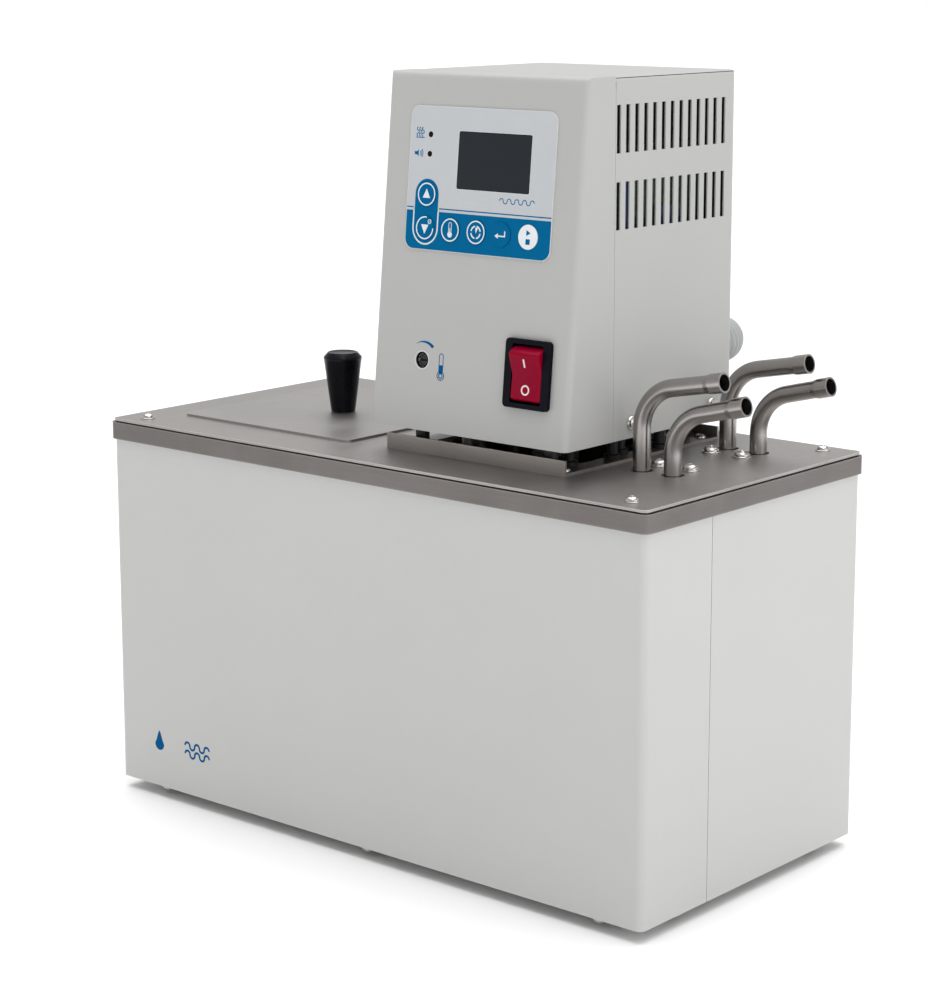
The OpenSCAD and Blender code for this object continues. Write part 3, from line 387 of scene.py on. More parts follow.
@dataclass(frozen=True)
class Paint(Finish):
    """Powder coat with fine orange peel."""

    peel: float = 0.0011
    peel_depth: float = 0.000035
    edge: float = 0.0012
    edge_gain: float = 1.12
    edge_share: float = 0.5
    warmth: Colour = (0.975, 0.975, 0.96)

    def wire(self, g: Graph, shader: bpy.types.Node, place: Socket) -> None:
        """Adds the orange peel, a faint tone drift and lighter worn edges.

        Args:
            g: the material's graph.
            shader: the Principled shader.
            place: object coordinates.
        """
        grain = self.use(g, Effect.GRAIN, {"Vector": place, "Size": self.peel, "Depth": 1.0})
        edge = self.use(g, Effect.EDGES, {"Radius": self.edge})
        warm = tuple(c * k for c, k in zip(self.colour, self.warmth))
        drift = g.blend(grain.outputs["Tone"], self.tone(1.0), (*warm, 1.0))
        edge_blend = g.math("MULTIPLY", edge.outputs["Edge"], self.edge_share)
        worn = g.blend(edge_blend, drift, self.tone(self.edge_gain, most=0.9))
        self.soil(g, shader, place, 0.025, worn, size=0.12)
        self.bump(g, shader, grain.outputs["Height"], self.peel_depth)


@dataclass(frozen=True)
class Vented(Paint):
    """Powder coat of the rear cover, whose inner side is painted near black: painted shade for the dark
    inside of the head.
    """

    node: str = "rear_cover"
    wall: float = 0.0012
    # painted shade: the near-black colour of the inner side, where the head's inside falls in shade
    painted_inner_shade: Colour = (0.008, 0.009, 0.010)

    def soil(self, g: Graph, shader: bpy.types.Node, place: Socket, amount: float, colour: Feed,
             size: float = 0.05) -> None:
        """Puts painted shade, near black, on whatever lies inside the sheet, and dust and smudges over all of
        it.

        Args:
            g: the material's graph.
            shader: the Principled shader.
            place: object coordinates.
            amount: how strong the soiling is.
            colour: the base colour, a value or a socket.
            size: width of a smudge.
        """
        low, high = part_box(self.node)
        near = g.vector_math("SUBTRACT", place, tuple(low)).outputs[0]
        far = g.vector_math("SUBTRACT", tuple(high), place).outputs[0]
        depths = []
        for vector, axes in ((near, (0,)), (far, (0, 1, 2))):
            split = g.add("ShaderNodeSeparateXYZ", {0: vector}).outputs
            depths += [split[axis] for axis in axes]
        least = depths[0]
        for depth in depths[1:]:
            least = g.math("MINIMUM", least, depth)
        # painted shade: points deeper than the sheet inside the cover's box get the near-black colour
        inside = g.math("GREATER_THAN", least, self.wall * 0.6)
        shaded_inside = g.blend(inside, colour, (*self.painted_inner_shade, 1.0))
        super().soil(g, shader, place, amount, shaded_inside, size)


@dataclass(frozen=True)
class Steel(Finish):
    """Stainless steel with a brushed or drawn grain."""

    metallic: float = 1.0
    fineness: float = 0.00035
    length: float = 0.02
    depth: float = 0.000012
    contrast: float = 0.16
    edge: float = 0.0008
    edge_gain: float = 1.6
    edge_share: float = 0.8
    stain: float = 0.08

    def wire(self, g: Graph, shader: bpy.types.Node, place: Socket) -> None:
        """Adds the brushed grain, stains and, where the finish has them, bright ground edges.

        Args:
            g: the material's graph.
            shader: the Principled shader.
            place: object coordinates.
        """
        inputs = {"Vector": place, "Fineness": self.fineness, "Length": self.length}
        brush = self.use(g, Effect.BRUSHING, inputs)
        dark, light = self.tone(1 - self.contrast), self.tone(1 + self.contrast)
        streaks = g.blend(brush.outputs["Tone"], dark, light)
        if self.edge:
            edge = self.use(g, Effect.EDGES, {"Radius": self.edge})
            ground = g.math("MULTIPLY", edge.outputs["Edge"], self.edge_share)
            streaks = g.blend(ground, streaks, self.tone(self.edge_gain, most=0.95))
        self.soil(g, shader, place, self.stain, streaks, size=0.035)
        self.bump(g, shader, brush.outputs["Height"], self.depth)


@dataclass(frozen=True)
class Tank(Steel):
    """Stainless steel whose drawn inside, below the rim's skirt, stays paler than the rim."""

    inside: Colour = (0.62, 0.60, 0.575)
    skirt: float = 0.0084
    node: str = "tank"

    def soil(self, g: Graph, shader: bpy.types.Node, place: Socket, amount: float, colour: Feed,
             size: float = 0.05) -> None:
        """Makes the metal below the skirt paler, and soils all of it.

        Args:
            g: the material's graph.
            shader: the Principled shader.
            place: object coordinates.
            amount: how strong the soiling is.
            colour: the base colour, a value or a socket.
            size: width of a smudge.
        """
        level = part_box(self.node)[1].z - self.skirt
        height = g.add("ShaderNodeSeparateXYZ", {0: place}).outputs[2]
        below = g.math("LESS_THAN", height, level)
        pale = g.blend(below, colour, (*self.inside, 1.0))
        super().soil(g, shader, place, amount, pale, size)


@dataclass(frozen=True)
class Moulding(Finish):
    """Moulded plastic or rubber with a fine grain."""

    grain: float = 0.0004
    grain_depth: float = 0.00002
    edge_gain: float = 1.6
    edge_lift: float = 0.004
    edge_size: float = 0.0005
    # painted highlight: a brighter colour on the edges, for light caught in glossy, translucent edges
    edge_highlight: Colour | None = None
    glow: float = 0.0
    glow_reach: Colour = (1.0, 0.12, 0.1)
    glow_depth: float = 0.0025

    def wire(self, g: Graph, shader: bpy.types.Node, place: Socket) -> None:
        """Adds the moulded grain, paler edges and smudges. Without an edge highlight colour the paler edges
        are rubbed wear; with one they are a painted highlight.

        Args:
            g: the material's graph.
            shader: the Principled shader.
            place: object coordinates.
        """
        grain = self.use(g, Effect.GRAIN, {"Vector": place, "Size": self.grain, "Depth": 1.0})
        edge = self.use(g, Effect.EDGES, {"Radius": self.edge_size})
        # with an edge highlight colour the edges get a painted highlight; without one they are paler as
        # rubbed wear
        pale = (*self.edge_highlight, 1.0) if self.edge_highlight else self.tone(self.edge_gain, self.edge_lift)
        edge_blend = g.blend(edge.outputs["Edge"], self.tone(1.0), pale)
        self.soil(g, shader, place, 0.06, edge_blend, size=0.02)
        self.bump(g, shader, grain.outputs["Height"], self.grain_depth)
        if self.glow:
            shader.inputs["Subsurface Weight"].default_value = self.glow
            shader.inputs["Subsurface Radius"].default_value = self.glow_reach
            shader.inputs["Subsurface Scale"].default_value = self.glow_depth


@dataclass(frozen=True)
class Ink(Finish):
    """Screen-printed ink: even colour with a faint mesh pattern."""

    specular: float = 0.2
    mesh: float = 0.0003
    mesh_depth: float = 0.000004
    rim: float = 0.0
    rim_size: float = 0.0006
    rim_colour: Colour = (0.8, 0.8, 0.79)

    def wire(self, g: Graph, shader: bpy.types.Node, place: Socket) -> None:
        """Adds the screen's fine mesh and, where the finish has one, a pale cut rim.

        Args:
            g: the material's graph.
            shader: the Principled shader.
            place: object coordinates.
        """
        checks = g.noise(place, 1.0 / self.mesh, 1.0)
        even = g.blend(checks, self.tone(1.0), self.tone(1.06, 0.001))
        if self.rim:
            edge = self.use(g, Effect.EDGES, {"Radius": self.rim_size})
            cut = g.math("MULTIPLY", edge.outputs["Edge"], self.rim)
            even = g.blend(cut, even, (*self.rim_colour, 1.0))
        self.soil(g, shader, place, 0.03, even, size=0.02)
        self.bump(g, shader, checks, self.mesh_depth)


@dataclass(frozen=True)
class Screen(Finish):
    """Unlit display behind a clear window, with its dot matrix just visible."""

    pitch: float = 0.00024

    def wire(self, g: Graph, shader: bpy.types.Node, place: Socket) -> None:
        """Adds the faint dot matrix and dust on the window.

        Args:
            g: the material's graph.
            shader: the Principled shader.
            place: object coordinates.
        """
        inputs = {"Vector": place, "Scale": 1.0 / self.pitch, "Mortar Size": 0.08}
        dots = g.add("ShaderNodeTexBrick", inputs, offset=0.0)
        for socket, gain in (("Color1", 1.0), ("Color2", 1.05), ("Mortar", 0.85)):
            dots.inputs[socket].default_value = self.tone(gain)
        self.soil(g, shader, place, 0.04, dots.outputs[0], size=0.012)


@dataclass(frozen=True)
class Board(Finish):
    """Circuit board with copper tracks under green resist."""

    track: float = 0.0016
    track_width: float = 0.05
    pad_radius: float = 0.13
    pad_colour: Colour = (0.62, 0.6, 0.55)
    relief: float = 0.00003

    def wire(self, g: Graph, shader: bpy.types.Node, place: Socket) -> None:
        """Adds tracks and pads under the resist.

        Args:
            g: the material's graph.
            shader: the Principled shader.
            place: object coordinates.
        """
        borders = g.cells(place, 0.4 / self.track, "DISTANCE_TO_EDGE")
        line = g.math("LESS_THAN", borders, self.track_width)
        pad = g.math("LESS_THAN", g.cells(place, 0.5 / self.track, randomness=0.3), self.pad_radius)
        traced = g.blend(line, self.tone(1.0), self.tone(1.9, 0.02))
        self.soil(g, shader, place, 0.05, g.blend(pad, traced, (*self.pad_colour, 1.0)))
        self.bump(g, shader, g.math("ADD", line, pad), self.relief)


@dataclass(frozen=True)
class Winding(Finish):
    """Enamelled copper windings between steel laminations."""

    wire_size: float = 0.0007
    relief: float = 0.0002

    def wire(self, g: Graph, shader: bpy.types.Node, place: Socket) -> None:
        """Adds the bands of the stacked turns.

        Args:
            g: the material's graph.
            shader: the Principled shader.
            place: object coordinates.
        """
        inputs = {"Vector": place, "Scale": 0.32 / self.wire_size, "Distortion": 1.5, "Detail": 2.0}
        bands = g.add("ShaderNodeTexWave", inputs, bands_direction="Z").outputs[1]
        self.soil(g, shader, place, 0.1, g.blend(bands, self.tone(0.35), self.tone(1.0)))
        self.bump(g, shader, bands, self.relief)


@dataclass(frozen=True)
class Foam(Finish):
    """Cut rigid foam with open cells."""

    cell: float = 0.0016
    relief: float = 0.0006

    def wire(self, g: Graph, shader: bpy.types.Node, place: Socket) -> None:
        """Adds the cut cells.

        Args:
            g: the material's graph.
            shader: the Principled shader.
            place: object coordinates.
        """
        cells = g.cells(place, 1.0 / self.cell, "SMOOTH_F1")
        self.soil(g, shader, place, 0.12, g.blend(cells, self.tone(1.0), self.tone(0.6)))
        self.bump(g, shader, cells, self.relief)


class Palette:
    """Every finish of the water bath."""

    casing = Paint("painted_casing", (0.515, 0.515, 0.505), 0.42, specular=0.4)
    head = Paint("painted_casing", (0.432, 0.432, 0.421), 0.42, specular=0.4)
    vented = Vented("painted_casing", (0.432, 0.432, 0.42), 0.42, specular=0.4)
    lead = Moulding("post_black", (0.012, 0.012, 0.014), 0.4, specular=0.3)
    zinc = Steel("galvanised", (0.50, 0.51, 0.52), 0.45, fineness=0.002, length=0.006, contrast=0.25)
    rubber = Moulding("foot_rubber", (0.012, 0.012, 0.012), 0.7, grain=0.0008)
    screw = Steel("zinc_screw", (0.56, 0.54, 0.51), 0.2, fineness=0.0006, length=0.0015, contrast=0.08,
                  edge=0.0003, stain=0.03)
    rim = Tank("rim_steel", (0.168, 0.155, 0.148), 0.3, edge=0.0014)
    cover = Steel("cover_steel", (0.375, 0.358, 0.342), 0.36, length=0.035, contrast=0.12)
    lid = Steel("cover_steel", (0.40, 0.385, 0.37), 0.36, length=0.035, contrast=0.12)
    tray = Steel("tray_steel", (0.34, 0.315, 0.295), 0.34)
    tube = Steel("tube_steel", (0.37, 0.352, 0.338), 0.25, fineness=0.0003, length=0.006, contrast=0.03,
                 stain=0.01, depth=0.000002, edge=0.0)
    foam = Foam("foam", (0.72, 0.62, 0.36), 0.9)
    knob = Moulding("knob_black", (0.002, 0.0022, 0.005), 0.2, specular=0.18, grain=0.0015,
                    grain_depth=0.00001)
    post = Paint("post_black", (0.02, 0.02, 0.022), 0.45, peel=0.0006)
    film = Ink("film", (0.475, 0.497, 0.515), 0.38, rim=0.8)
    film_blue = Ink("film", (0.0, 0.112, 0.262), 0.4, specular=0.02)
    film_pale = Ink("film", (0.62, 0.65, 0.665), 0.38)
    key_blue = Ink("key_blue", (0.0, 0.112, 0.262), 0.4, specular=0.02)
    key_white = Ink("key_white", (0.70, 0.73, 0.745), 0.38)
    key_mark = Ink("key_blue", (0.68, 0.71, 0.725), 0.38)
    start_mark = Ink("key_white", (0.0, 0.112, 0.262), 0.4, specular=0.02)
    mark_blue = Ink("painted_casing", (0.0, 0.085, 0.24), 0.4, specular=0.02)
    glass = Screen("display_glass", (0.013, 0.018, 0.023), 0.2, specular=0.2)
    display = Moulding("display_black", (0.01, 0.01, 0.012), 0.5)
    lens = Moulding("led_lens", (0.002, 0.0025, 0.004), 0.25, specular=0.12, grain=0.002)
    board = Board("board_green", (0.006, 0.045, 0.018), 0.35, coat=0.4)
    switch = Moulding("switch_black", (0.002, 0.0025, 0.006), 0.4, specular=0.08, grain=0.0003)
    # its brighter red edge colour is a painted highlight, for light caught in the glossy, translucent edges
    rocker = Moulding("rocker_red", (0.25, 0.0, 0.02), 0.14, specular=0.06, edge_size=0.0012,
                      edge_highlight=(0.60, 0.008, 0.012), grain=0.003, glow=0.3)
    rocker_mark = Ink("rocker_red", (0.78, 0.70, 0.70), 0.4)
    cream = Moulding("limiter_cream", (0.60, 0.55, 0.43), 0.5)
    spindle = Moulding("spindle_black", (0.012, 0.012, 0.012), 0.5)
    parts = Moulding("capacitor_blue", (0.02, 0.06, 0.26), 0.3, coat=0.4)
    motor = Paint("motor_grey", (0.02, 0.022, 0.026), 0.5, peel=0.002)
    winding = Winding("winding", (0.42, 0.17, 0.05), 0.4, metallic=0.7)
    shaft = Steel("rotor_steel", (0.60, 0.60, 0.60), 0.25)
    fan = Moulding("fan_black", (0.015, 0.015, 0.017), 0.45)
    column = Steel("column_steel", (0.50, 0.49, 0.47), 0.3)
    pump = Moulding("pump_black", (0.015, 0.015, 0.017), 0.5)
    impeller = Moulding("impeller_cream", (0.62, 0.57, 0.45), 0.5)
    heater = Steel("heater_steel", (0.33, 0.28, 0.22), 0.35, contrast=0.3)
    float_foam = Moulding("float_white", (0.75, 0.72, 0.62), 0.6, grain=0.001)
    hose = Moulding("hose_grey", (0.372, 0.38, 0.386), 0.42, specular=0.3, grain=0.001, edge_gain=1.1)


NODE_FINISHES = {
    Palette.casing: ("front_casing", "rear_casing"),
    Palette.head: ("front_shell",),
    Palette.vented: ("rear_cover",),
    Palette.zinc: ("base_pan", "head_base"),
    Palette.rubber: ("feet", "cover_gasket"),
    Palette.screw: ("foot_screws", "casing_screws", "cover_screws", "lid_knob_screw", "bracket_screws",
                    "tray_screws", "cover_side_screws"),
    Palette.rim: ("tank",),
    Palette.cover: ("cover_plate", "tube_bracket"),
    Palette.lid: ("lid",),
    Palette.tray: ("head_tray",),
    Palette.tube: ("pump_outlet_tube", "pump_return_tube", "cooling_coil"),
    Palette.foam: ("insulation",),
    Palette.knob: ("lid_knob",),
    Palette.post: ("head_posts",),
    Palette.film: ("keypad_film",),
    Palette.glass: ("display_window",),
    Palette.display: ("display_module",),
    Palette.lens: ("status_leds",),
    Palette.key_blue: ("key_up", "key_down", "key_temperature", "key_timer", "key_enter"),
    Palette.key_white: ("key_start",),
    Palette.board: ("control_board", "power_board"),
    Palette.switch: ("switch_housing", "mains_inlet"),
    Palette.rocker: ("switch_rocker",),
    Palette.cream: ("limiter_body",),
    Palette.spindle: ("limiter_spindle",),
    Palette.parts: ("power_parts",),
    Palette.motor: ("motor_housing", "motor_cap"),
    Palette.winding: ("motor_stator",),
    Palette.shaft: ("motor_rotor", "bearings", "drive_shaft"),
    Palette.fan: ("cooling_fan",),
    Palette.column: ("pump_column", "probes", "float_stem"),
    Palette.pump: ("pump_housing", "pump_floor"),
    Palette.impeller: ("impeller",),
    Palette.heater: ("heater",),
    Palette.float_foam: ("float",),
    Palette.hose: ("rear_hose",),
}


def dress_frame() -> None:
    """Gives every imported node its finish."""
    for finish, nodes in NODE_FINISHES.items():
        for node in nodes:
            dress(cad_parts[node], finish)
            LOG.info("node %s: %s", node, finish.slot)


def dress(piece: bpy.types.Object, finish: Finish) -> None:
    """Puts a finish on a piece.

    Args:
        piece: the piece.
        finish: its finish.
    """
    piece.data.materials.clear()
    piece.data.materials.append(finish.material())


# ---- studio ----


@dataclass(frozen=True)
class Softbox:
    """One soft studio light that points at the bath."""

    name: str
    place: Point
    size: tuple[float, float]
    power: float
    colour: Colour = (1.0, 1.0, 1.0)
    target: Point = (0.0, 0.0, 0.18)

    def build(self) -> None:
        """Hangs the light."""
        data = bpy.data.lights.new(self.name, "AREA")
        data.shape, data.energy, data.color = "RECTANGLE", self.power, self.colour
        data.size, data.size_y = self.size
        lamp = bpy.data.objects.new(self.name, data)
        bpy.context.scene.collection.objects.link(lamp)
        lamp.location = self.place
        lamp.rotation_euler = (Vector(self.target) - Vector(self.place)).to_track_quat("-Z", "Y").to_euler()


@dataclass
class Studio:
    """Camera, pale floor, soft lights and a plain sky."""

    camera_place: Point = (0.770158, -0.898076, 0.414613)
    camera_turn: Point = (79.259, 0.05, 40.509)
    lens: float = 91.11
    shift: tuple[float, float] = (-0.01357, -0.0678)
    floor_size: float = 30.0
    floor_colour: Colour = (0.95, 0.95, 0.95)
    overhead: float = 2.15
    overhead_spread: float = 70.0
    overhead_turn: Point = (-12.0, -8.0, 0.0)
    lights: tuple[Softbox, ...] = (
        Softbox("key_light", (0.9, -0.5, 1.5), (1.0, 1.0), 6.0),
        Softbox("side_light", (1.8, 0.2, 0.6), (1.2, 0.9), 3.5),
    )
    sky_tint: Colour = (1.0, 1.0, 1.01)
    sky: tuple[tuple[float, float], ...] = ((0.0, 1.0), (0.505, 1.0), (0.53, 0.72), (0.80, 0.50), (1.0, 0.85))

    def build(self) -> None:
        """Sets the whole studio up."""
        self.add_camera()
        self.add_floor()
        self.add_sky()
        self.add_overhead()
        for light in self.lights:
            light.build()
        bpy.context.scene.view_settings.view_transform = "Standard"

    def add_overhead(self) -> None:
        """Hangs one wide, even light overhead."""
        data = bpy.data.lights.new("overhead", "SUN")
        data.energy, data.angle = self.overhead, math.radians(self.overhead_spread)
        lamp = bpy.data.objects.new("overhead", data)
        bpy.context.scene.collection.objects.link(lamp)
        lamp.rotation_euler = [math.radians(angle) for angle in self.overhead_turn]

    def add_camera(self) -> None:
        """Places the camera and makes it the scene's own."""
        data = bpy.data.cameras.new("camera")
        data.lens, data.sensor_width = self.lens, 36.0
        data.shift_x, data.shift_y = self.shift
        camera = bpy.data.objects.new("camera", data)
        bpy.context.scene.collection.objects.link(camera)
        camera.location = self.camera_place
        camera.rotation_euler = [math.radians(angle) for angle in self.camera_turn]
        bpy.context.scene.camera = camera

    def add_floor(self) -> None:
        """Lays a plain pale floor."""
        begin()
        bpy.ops.mesh.primitive_plane_add(size=self.floor_size)
        floor = bpy.context.object
        floor.name = "floor"
        material = bpy.data.materials.new("pale_floor")
        material.use_nodes = True
        shader = material.node_tree.nodes["Principled BSDF"]
        shader.inputs["Base Color"].default_value = (*self.floor_colour, 1.0)
        shader.inputs["Roughness"].default_value = 0.7
        shader.inputs["Specular IOR Level"].default_value = 0.2
        floor.data.materials.append(material)

    def add_sky(self) -> None:
        """Wires a plain sky: white at the horizon, softer grey above it."""
        world = bpy.data.worlds.new("sky")
        bpy.context.scene.world = world
        world.use_nodes = True
        g = Graph(world.node_tree)
        towards = g.add("ShaderNodeTexCoord").outputs["Generated"]
        height = g.add("ShaderNodeSeparateXYZ", {0: towards}).outputs[2]
        ramp = g.add("ShaderNodeValToRGB", {0: g.stretch(0.5, 1.0, height)})
        stops = ramp.color_ramp.elements
        while len(stops) < len(self.sky):
            stops.new(0.5)
        for stop, (place, tone) in zip(stops, self.sky):
            stop.position, stop.color = place, (*(tone * tint for tint in self.sky_tint), 1.0)
        g.tree.links.new(ramp.outputs[0], world.node_tree.nodes["Background"].inputs["Color"])


# ---- modelling moves ----


def begin() -> None:
    """Leaves edit mode and deselects everything."""
    if bpy.context.object and bpy.context.object.mode != "OBJECT":
        bpy.ops.object.mode_set(mode="OBJECT")
    bpy.ops.object.select_all(action="DESELECT")


def pick(piece: bpy.types.Object, *others: bpy.types.Object) -> None:
    """Selects pieces, the first of them active, in object mode.

    Args:
        piece: the piece that becomes active.
        *others: what is selected with it.
    """
    begin()
    for each in (piece, *others):
        each.select_set(True)
    bpy.context.view_layer.objects.active = piece


def settle(piece: bpy.types.Object, place: Matrix | None = None) -> None:
    """Moves a piece to its place and applies that, so that its object sits at the origin.

    Args:
        piece: the piece.
        place: where it goes, on top of where it stands.
    """
    if place is not None:
        piece.matrix_world = place @ piece.matrix_world
    pick(piece)
    bpy.ops.object.transform_apply(location=True, rotation=True, scale=True)


def edit(piece: bpy.types.Object, kind: str = "VERT", chosen: Callable[[Vector], bool] | None = None) -> None:
    """Enters edit mode with everything selected, or just what lies in the right place.

    Args:
        piece: the piece to edit.
        kind: VERT or FACE, which is what gets selected.
        chosen: the test of a point's or a face centre's place.
    """
    pick(piece)
    bpy.context.tool_settings.mesh_select_mode = tuple(kind == each for each in ("VERT", "EDGE", "FACE"))
    if chosen:
        mesh = piece.data
        for group in (mesh.vertices, mesh.edges, mesh.polygons):
            group.foreach_set("select", [False] * len(group))
        for item in mesh.polygons if kind == "FACE" else mesh.vertices:
            item.select = chosen(item.center if kind == "FACE" else item.co)
    bpy.ops.object.mode_set(mode="EDIT")
    if not chosen:
        bpy.ops.mesh.select_all(action="SELECT")


def use_modifier(piece: bpy.types.Object, kind: str, **settings: object) -> None:
    """Adds a modifier with these settings and applies it.

    Args:
        piece: the piece.
        kind: the modifier's type.
        **settings: the modifier's own properties.
    """
    modifier = piece.modifiers.new(kind.lower(), kind)
    for name, value in settings.items():
        setattr(modifier, name, value)
    pick(piece)
    bpy.ops.object.modifier_apply(modifier=modifier.name)


def join(pieces: list[bpy.types.Object], name: str) -> bpy.types.Object:
    """Joins pieces into the first one and names it.

    Args:
        pieces: what is joined.
        name: the joined piece's name.

    Returns:
        The joined piece.
    """
    pick(*pieces)
    if len(pieces) > 1:
        bpy.ops.object.join()
    joined = bpy.context.view_layer.objects.active
    joined.name = joined.data.name = name
    return joined


def tidy_shell(piece: bpy.types.Object, sharp: float = 35.0) -> None:
    """Merges doubles, fills open ends, turns the faces outwards and smooths all but the sharp edges.

    Args:
        piece: the piece.
        sharp: the angle in degrees past which an edge stays sharp.
    """
    edit(piece)
    bpy.ops.mesh.remove_doubles(threshold=1e-6)
    bpy.ops.mesh.fill_holes(sides=0)
    bpy.ops.mesh.normals_make_consistent(inside=False)
    bpy.ops.object.mode_set(mode="OBJECT")
    bpy.ops.object.shade_smooth_by_angle(angle=math.radians(sharp))


def install(piece: bpy.types.Object, finish: Finish, body: str, *nodes: str) -> None:
    """Dresses a finished piece and makes it ride.

    Args:
        piece: the piece, at the origin, with its place in its mesh.
        finish: its finish.
        body: the body that it rides on.
        *nodes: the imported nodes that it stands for.
    """
    dress(piece, finish)
    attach(piece, body)
    if nodes:
        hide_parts(*nodes)
    LOG.info("piece %s on %s: %d faces", piece.name, body, len(piece.data.polygons))


def upright(across: Vector, up: Vector) -> Matrix:
    """The turn of a flat face: its X across, its Y up and its Z outwards."""
    return Matrix((across, up, across.cross(up))).transposed().to_4x4()


def copies(piece: bpy.types.Object, places: list[Matrix], name: str) -> bpy.types.Object:
    """Repeats a piece at each place, every copy with its own mesh, as one joined piece.

    Args:
        piece: the piece that is repeated, which goes away.
        places: where each copy stands.
        name: the joined piece's name.

    Returns:
        The joined piece, at the origin.
    """
    made = []
    for place in places:
        pick(piece)
        bpy.ops.object.duplicate()
        copy = bpy.context.view_layer.objects.active
        settle(copy, place)
        made.append(copy)
    bpy.data.objects.remove(piece)
    return join(made, name)


def merged_copy(node: str, name: str) -> bpy.types.Object:
    """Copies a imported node's mesh into a new piece with its corners merged and flat faces whole.

    Args:
        node: the node's name.
        name: the copy's name.

    Returns:
        The copy.
    """
    piece = bpy.data.objects.new(name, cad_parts[node].data.copy())
    bpy.context.scene.collection.objects.link(piece)
    piece.data.materials.clear()
    pick(piece)
    if piece.data.has_custom_normals:
        bpy.ops.mesh.customdata_custom_splitnormals_clear()
    edit(piece)
    bpy.ops.mesh.remove_doubles(threshold=1e-6)
    bpy.ops.mesh.dissolve_limited(angle_limit=math.radians(1.0))
    begin()
    return piece


def solids(node: str) -> list[tuple[Vector, Vector]]:
    """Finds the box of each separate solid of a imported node.

    Args:
        node: the node's name.

    Returns:
        The lowest and highest corner of each solid.
    """
    whole = merged_copy(node, "solids")
    pick(whole)
    bpy.ops.mesh.separate(type="LOOSE")
    loose = list(bpy.context.selected_objects)
    boxes = []
    for piece in loose:
        places = [point.co for point in piece.data.vertices]
        low, high = (Vector(pick_end(axis) for axis in zip(*places)) for pick_end in (min, max))
        boxes.append((low, high))
        bpy.data.objects.remove(piece)
    return boxes


def fold(name: str, width: float, path: list[tuple[float, float]]) -> bpy.types.Object:
    """Folds a strip along a closed path, like a section drawn out along X.

    Args:
        name: the piece's name.
        width: its width along X in millimetres.
        path: the corners of the section as (y, z) in millimetres, without the first one again at the end.

    Returns:
        The closed block, not yet tidied.
    """
    begin()
    bpy.ops.mesh.primitive_plane_add(size=width * MM)
    piece = bpy.context.object
    piece.name = piece.data.name = name
    edit(piece, "VERT", lambda place: place.y > 0)
    bpy.ops.mesh.delete(type="VERT")
    bpy.ops.mesh.select_all(action="SELECT")
    at = Vector((0, -width / 2, 0))
    for i, (y, z) in enumerate([*path, path[0]]):
        move = tuple((Vector((0, y, z)) - at) * MM)
        at = Vector((0, y, z))
        if i:
            bpy.ops.mesh.extrude_region_move(TRANSFORM_OT_translate={"value": move})
        else:
            bpy.ops.transform.translate(value=move)
    begin()
    edit(piece)
    bpy.ops.mesh.remove_doubles(threshold=1e-6)
    bpy.ops.mesh.fill_holes(sides=0)
    bpy.ops.mesh.normals_make_consistent(inside=False)
    begin()
    return piece


class Lathe:
    """Draws a ring of points along an axis, step by step, as a turned or swept shell."""

    def __init__(self, name: str, centre: Vector, direction: Vector, radius: float, sides: int = 40) -> None:
        """Starts with one ring round the axis.

        Args:
            name: the piece's name.
            centre: middle of the first ring.
            direction: the axis, along which the shell grows.
            radius: the first ring's radius.
            sides: points on each ring.
        """
        self.centre, self.direction = Vector(centre), Vector(direction).normalized()
        self.radius = radius
        begin()
        bpy.ops.mesh.primitive_circle_add(vertices=sides, radius=radius)
        self.piece = bpy.context.object
        self.piece.name = self.piece.data.name = name
        turn = self.direction.to_track_quat("Z", "Y").to_matrix().to_4x4()
        settle(self.piece, Matrix.Translation(self.centre) @ turn)
        edit(self.piece)

    def step(self, along: float, radius: float) -> None:
        """Extrudes the ring along the axis and gives it a new radius.

        Args:
            along: how far the ring moves.
            radius: its new radius.
        """
        move = self.direction * along
        bpy.ops.mesh.extrude_region_move(TRANSFORM_OT_translate={"value": tuple(move)})
        self.centre += move
        self.resize(radius)

    def turn(self, angle: float, axis: Vector, pivot: Vector, radius: float) -> None:
        """Extrudes the ring round a pivot, for a bend, and gives it a new radius.

        Args:
            angle: how far it turns, in radians.
            axis: the axis that it turns about.
            pivot: a point on that axis.
            radius: its new radius.
        """
        bpy.ops.mesh.spin(steps=1, angle=-angle, center=tuple(pivot), axis=tuple(axis))
        turned = Matrix.Rotation(angle, 3, axis)
        self.centre = turned @ (self.centre - pivot) + pivot
        self.direction = turned @ self.direction
        self.resize(radius)

    def resize(self, radius: float) -> None:
        """Scales the selected ring about its centre.

        Args:
            radius: its new radius.
        """
        share = radius / self.radius
        bpy.ops.transform.resize(value=(share,) * 3, center_override=tuple(self.centre))
        self.radius = radius

    def profile(self, steps: list[tuple[float, float]]) -> None:
        """Follows a profile of (height, radius) pairs in millimetres, measured from the first ring.

        Args:
            steps: the rings that follow the first one.
        """
        reached = 0.0
        for height, radius in steps:
            self.step((height - reached) * MM, radius * MM)
            reached = height

    def finish(self, sharp: float = 35.0) -> bpy.types.Object:
        """Leaves edit mode and tidies the shell.

        Args:
            sharp: the angle in degrees past which an edge stays sharp.

        Returns:
            The shell.
        """
        begin()
        tidy_shell(self.piece, sharp)
        return self.piece


def bearing(place: Vector, start: float) -> float:
    """The angle of a place round Z in degrees, from a little before start up to a turn more."""
    margin = 30.0
    return (math.degrees(math.atan2(place.y, place.x)) - start + margin) % 360.0 + start - margin


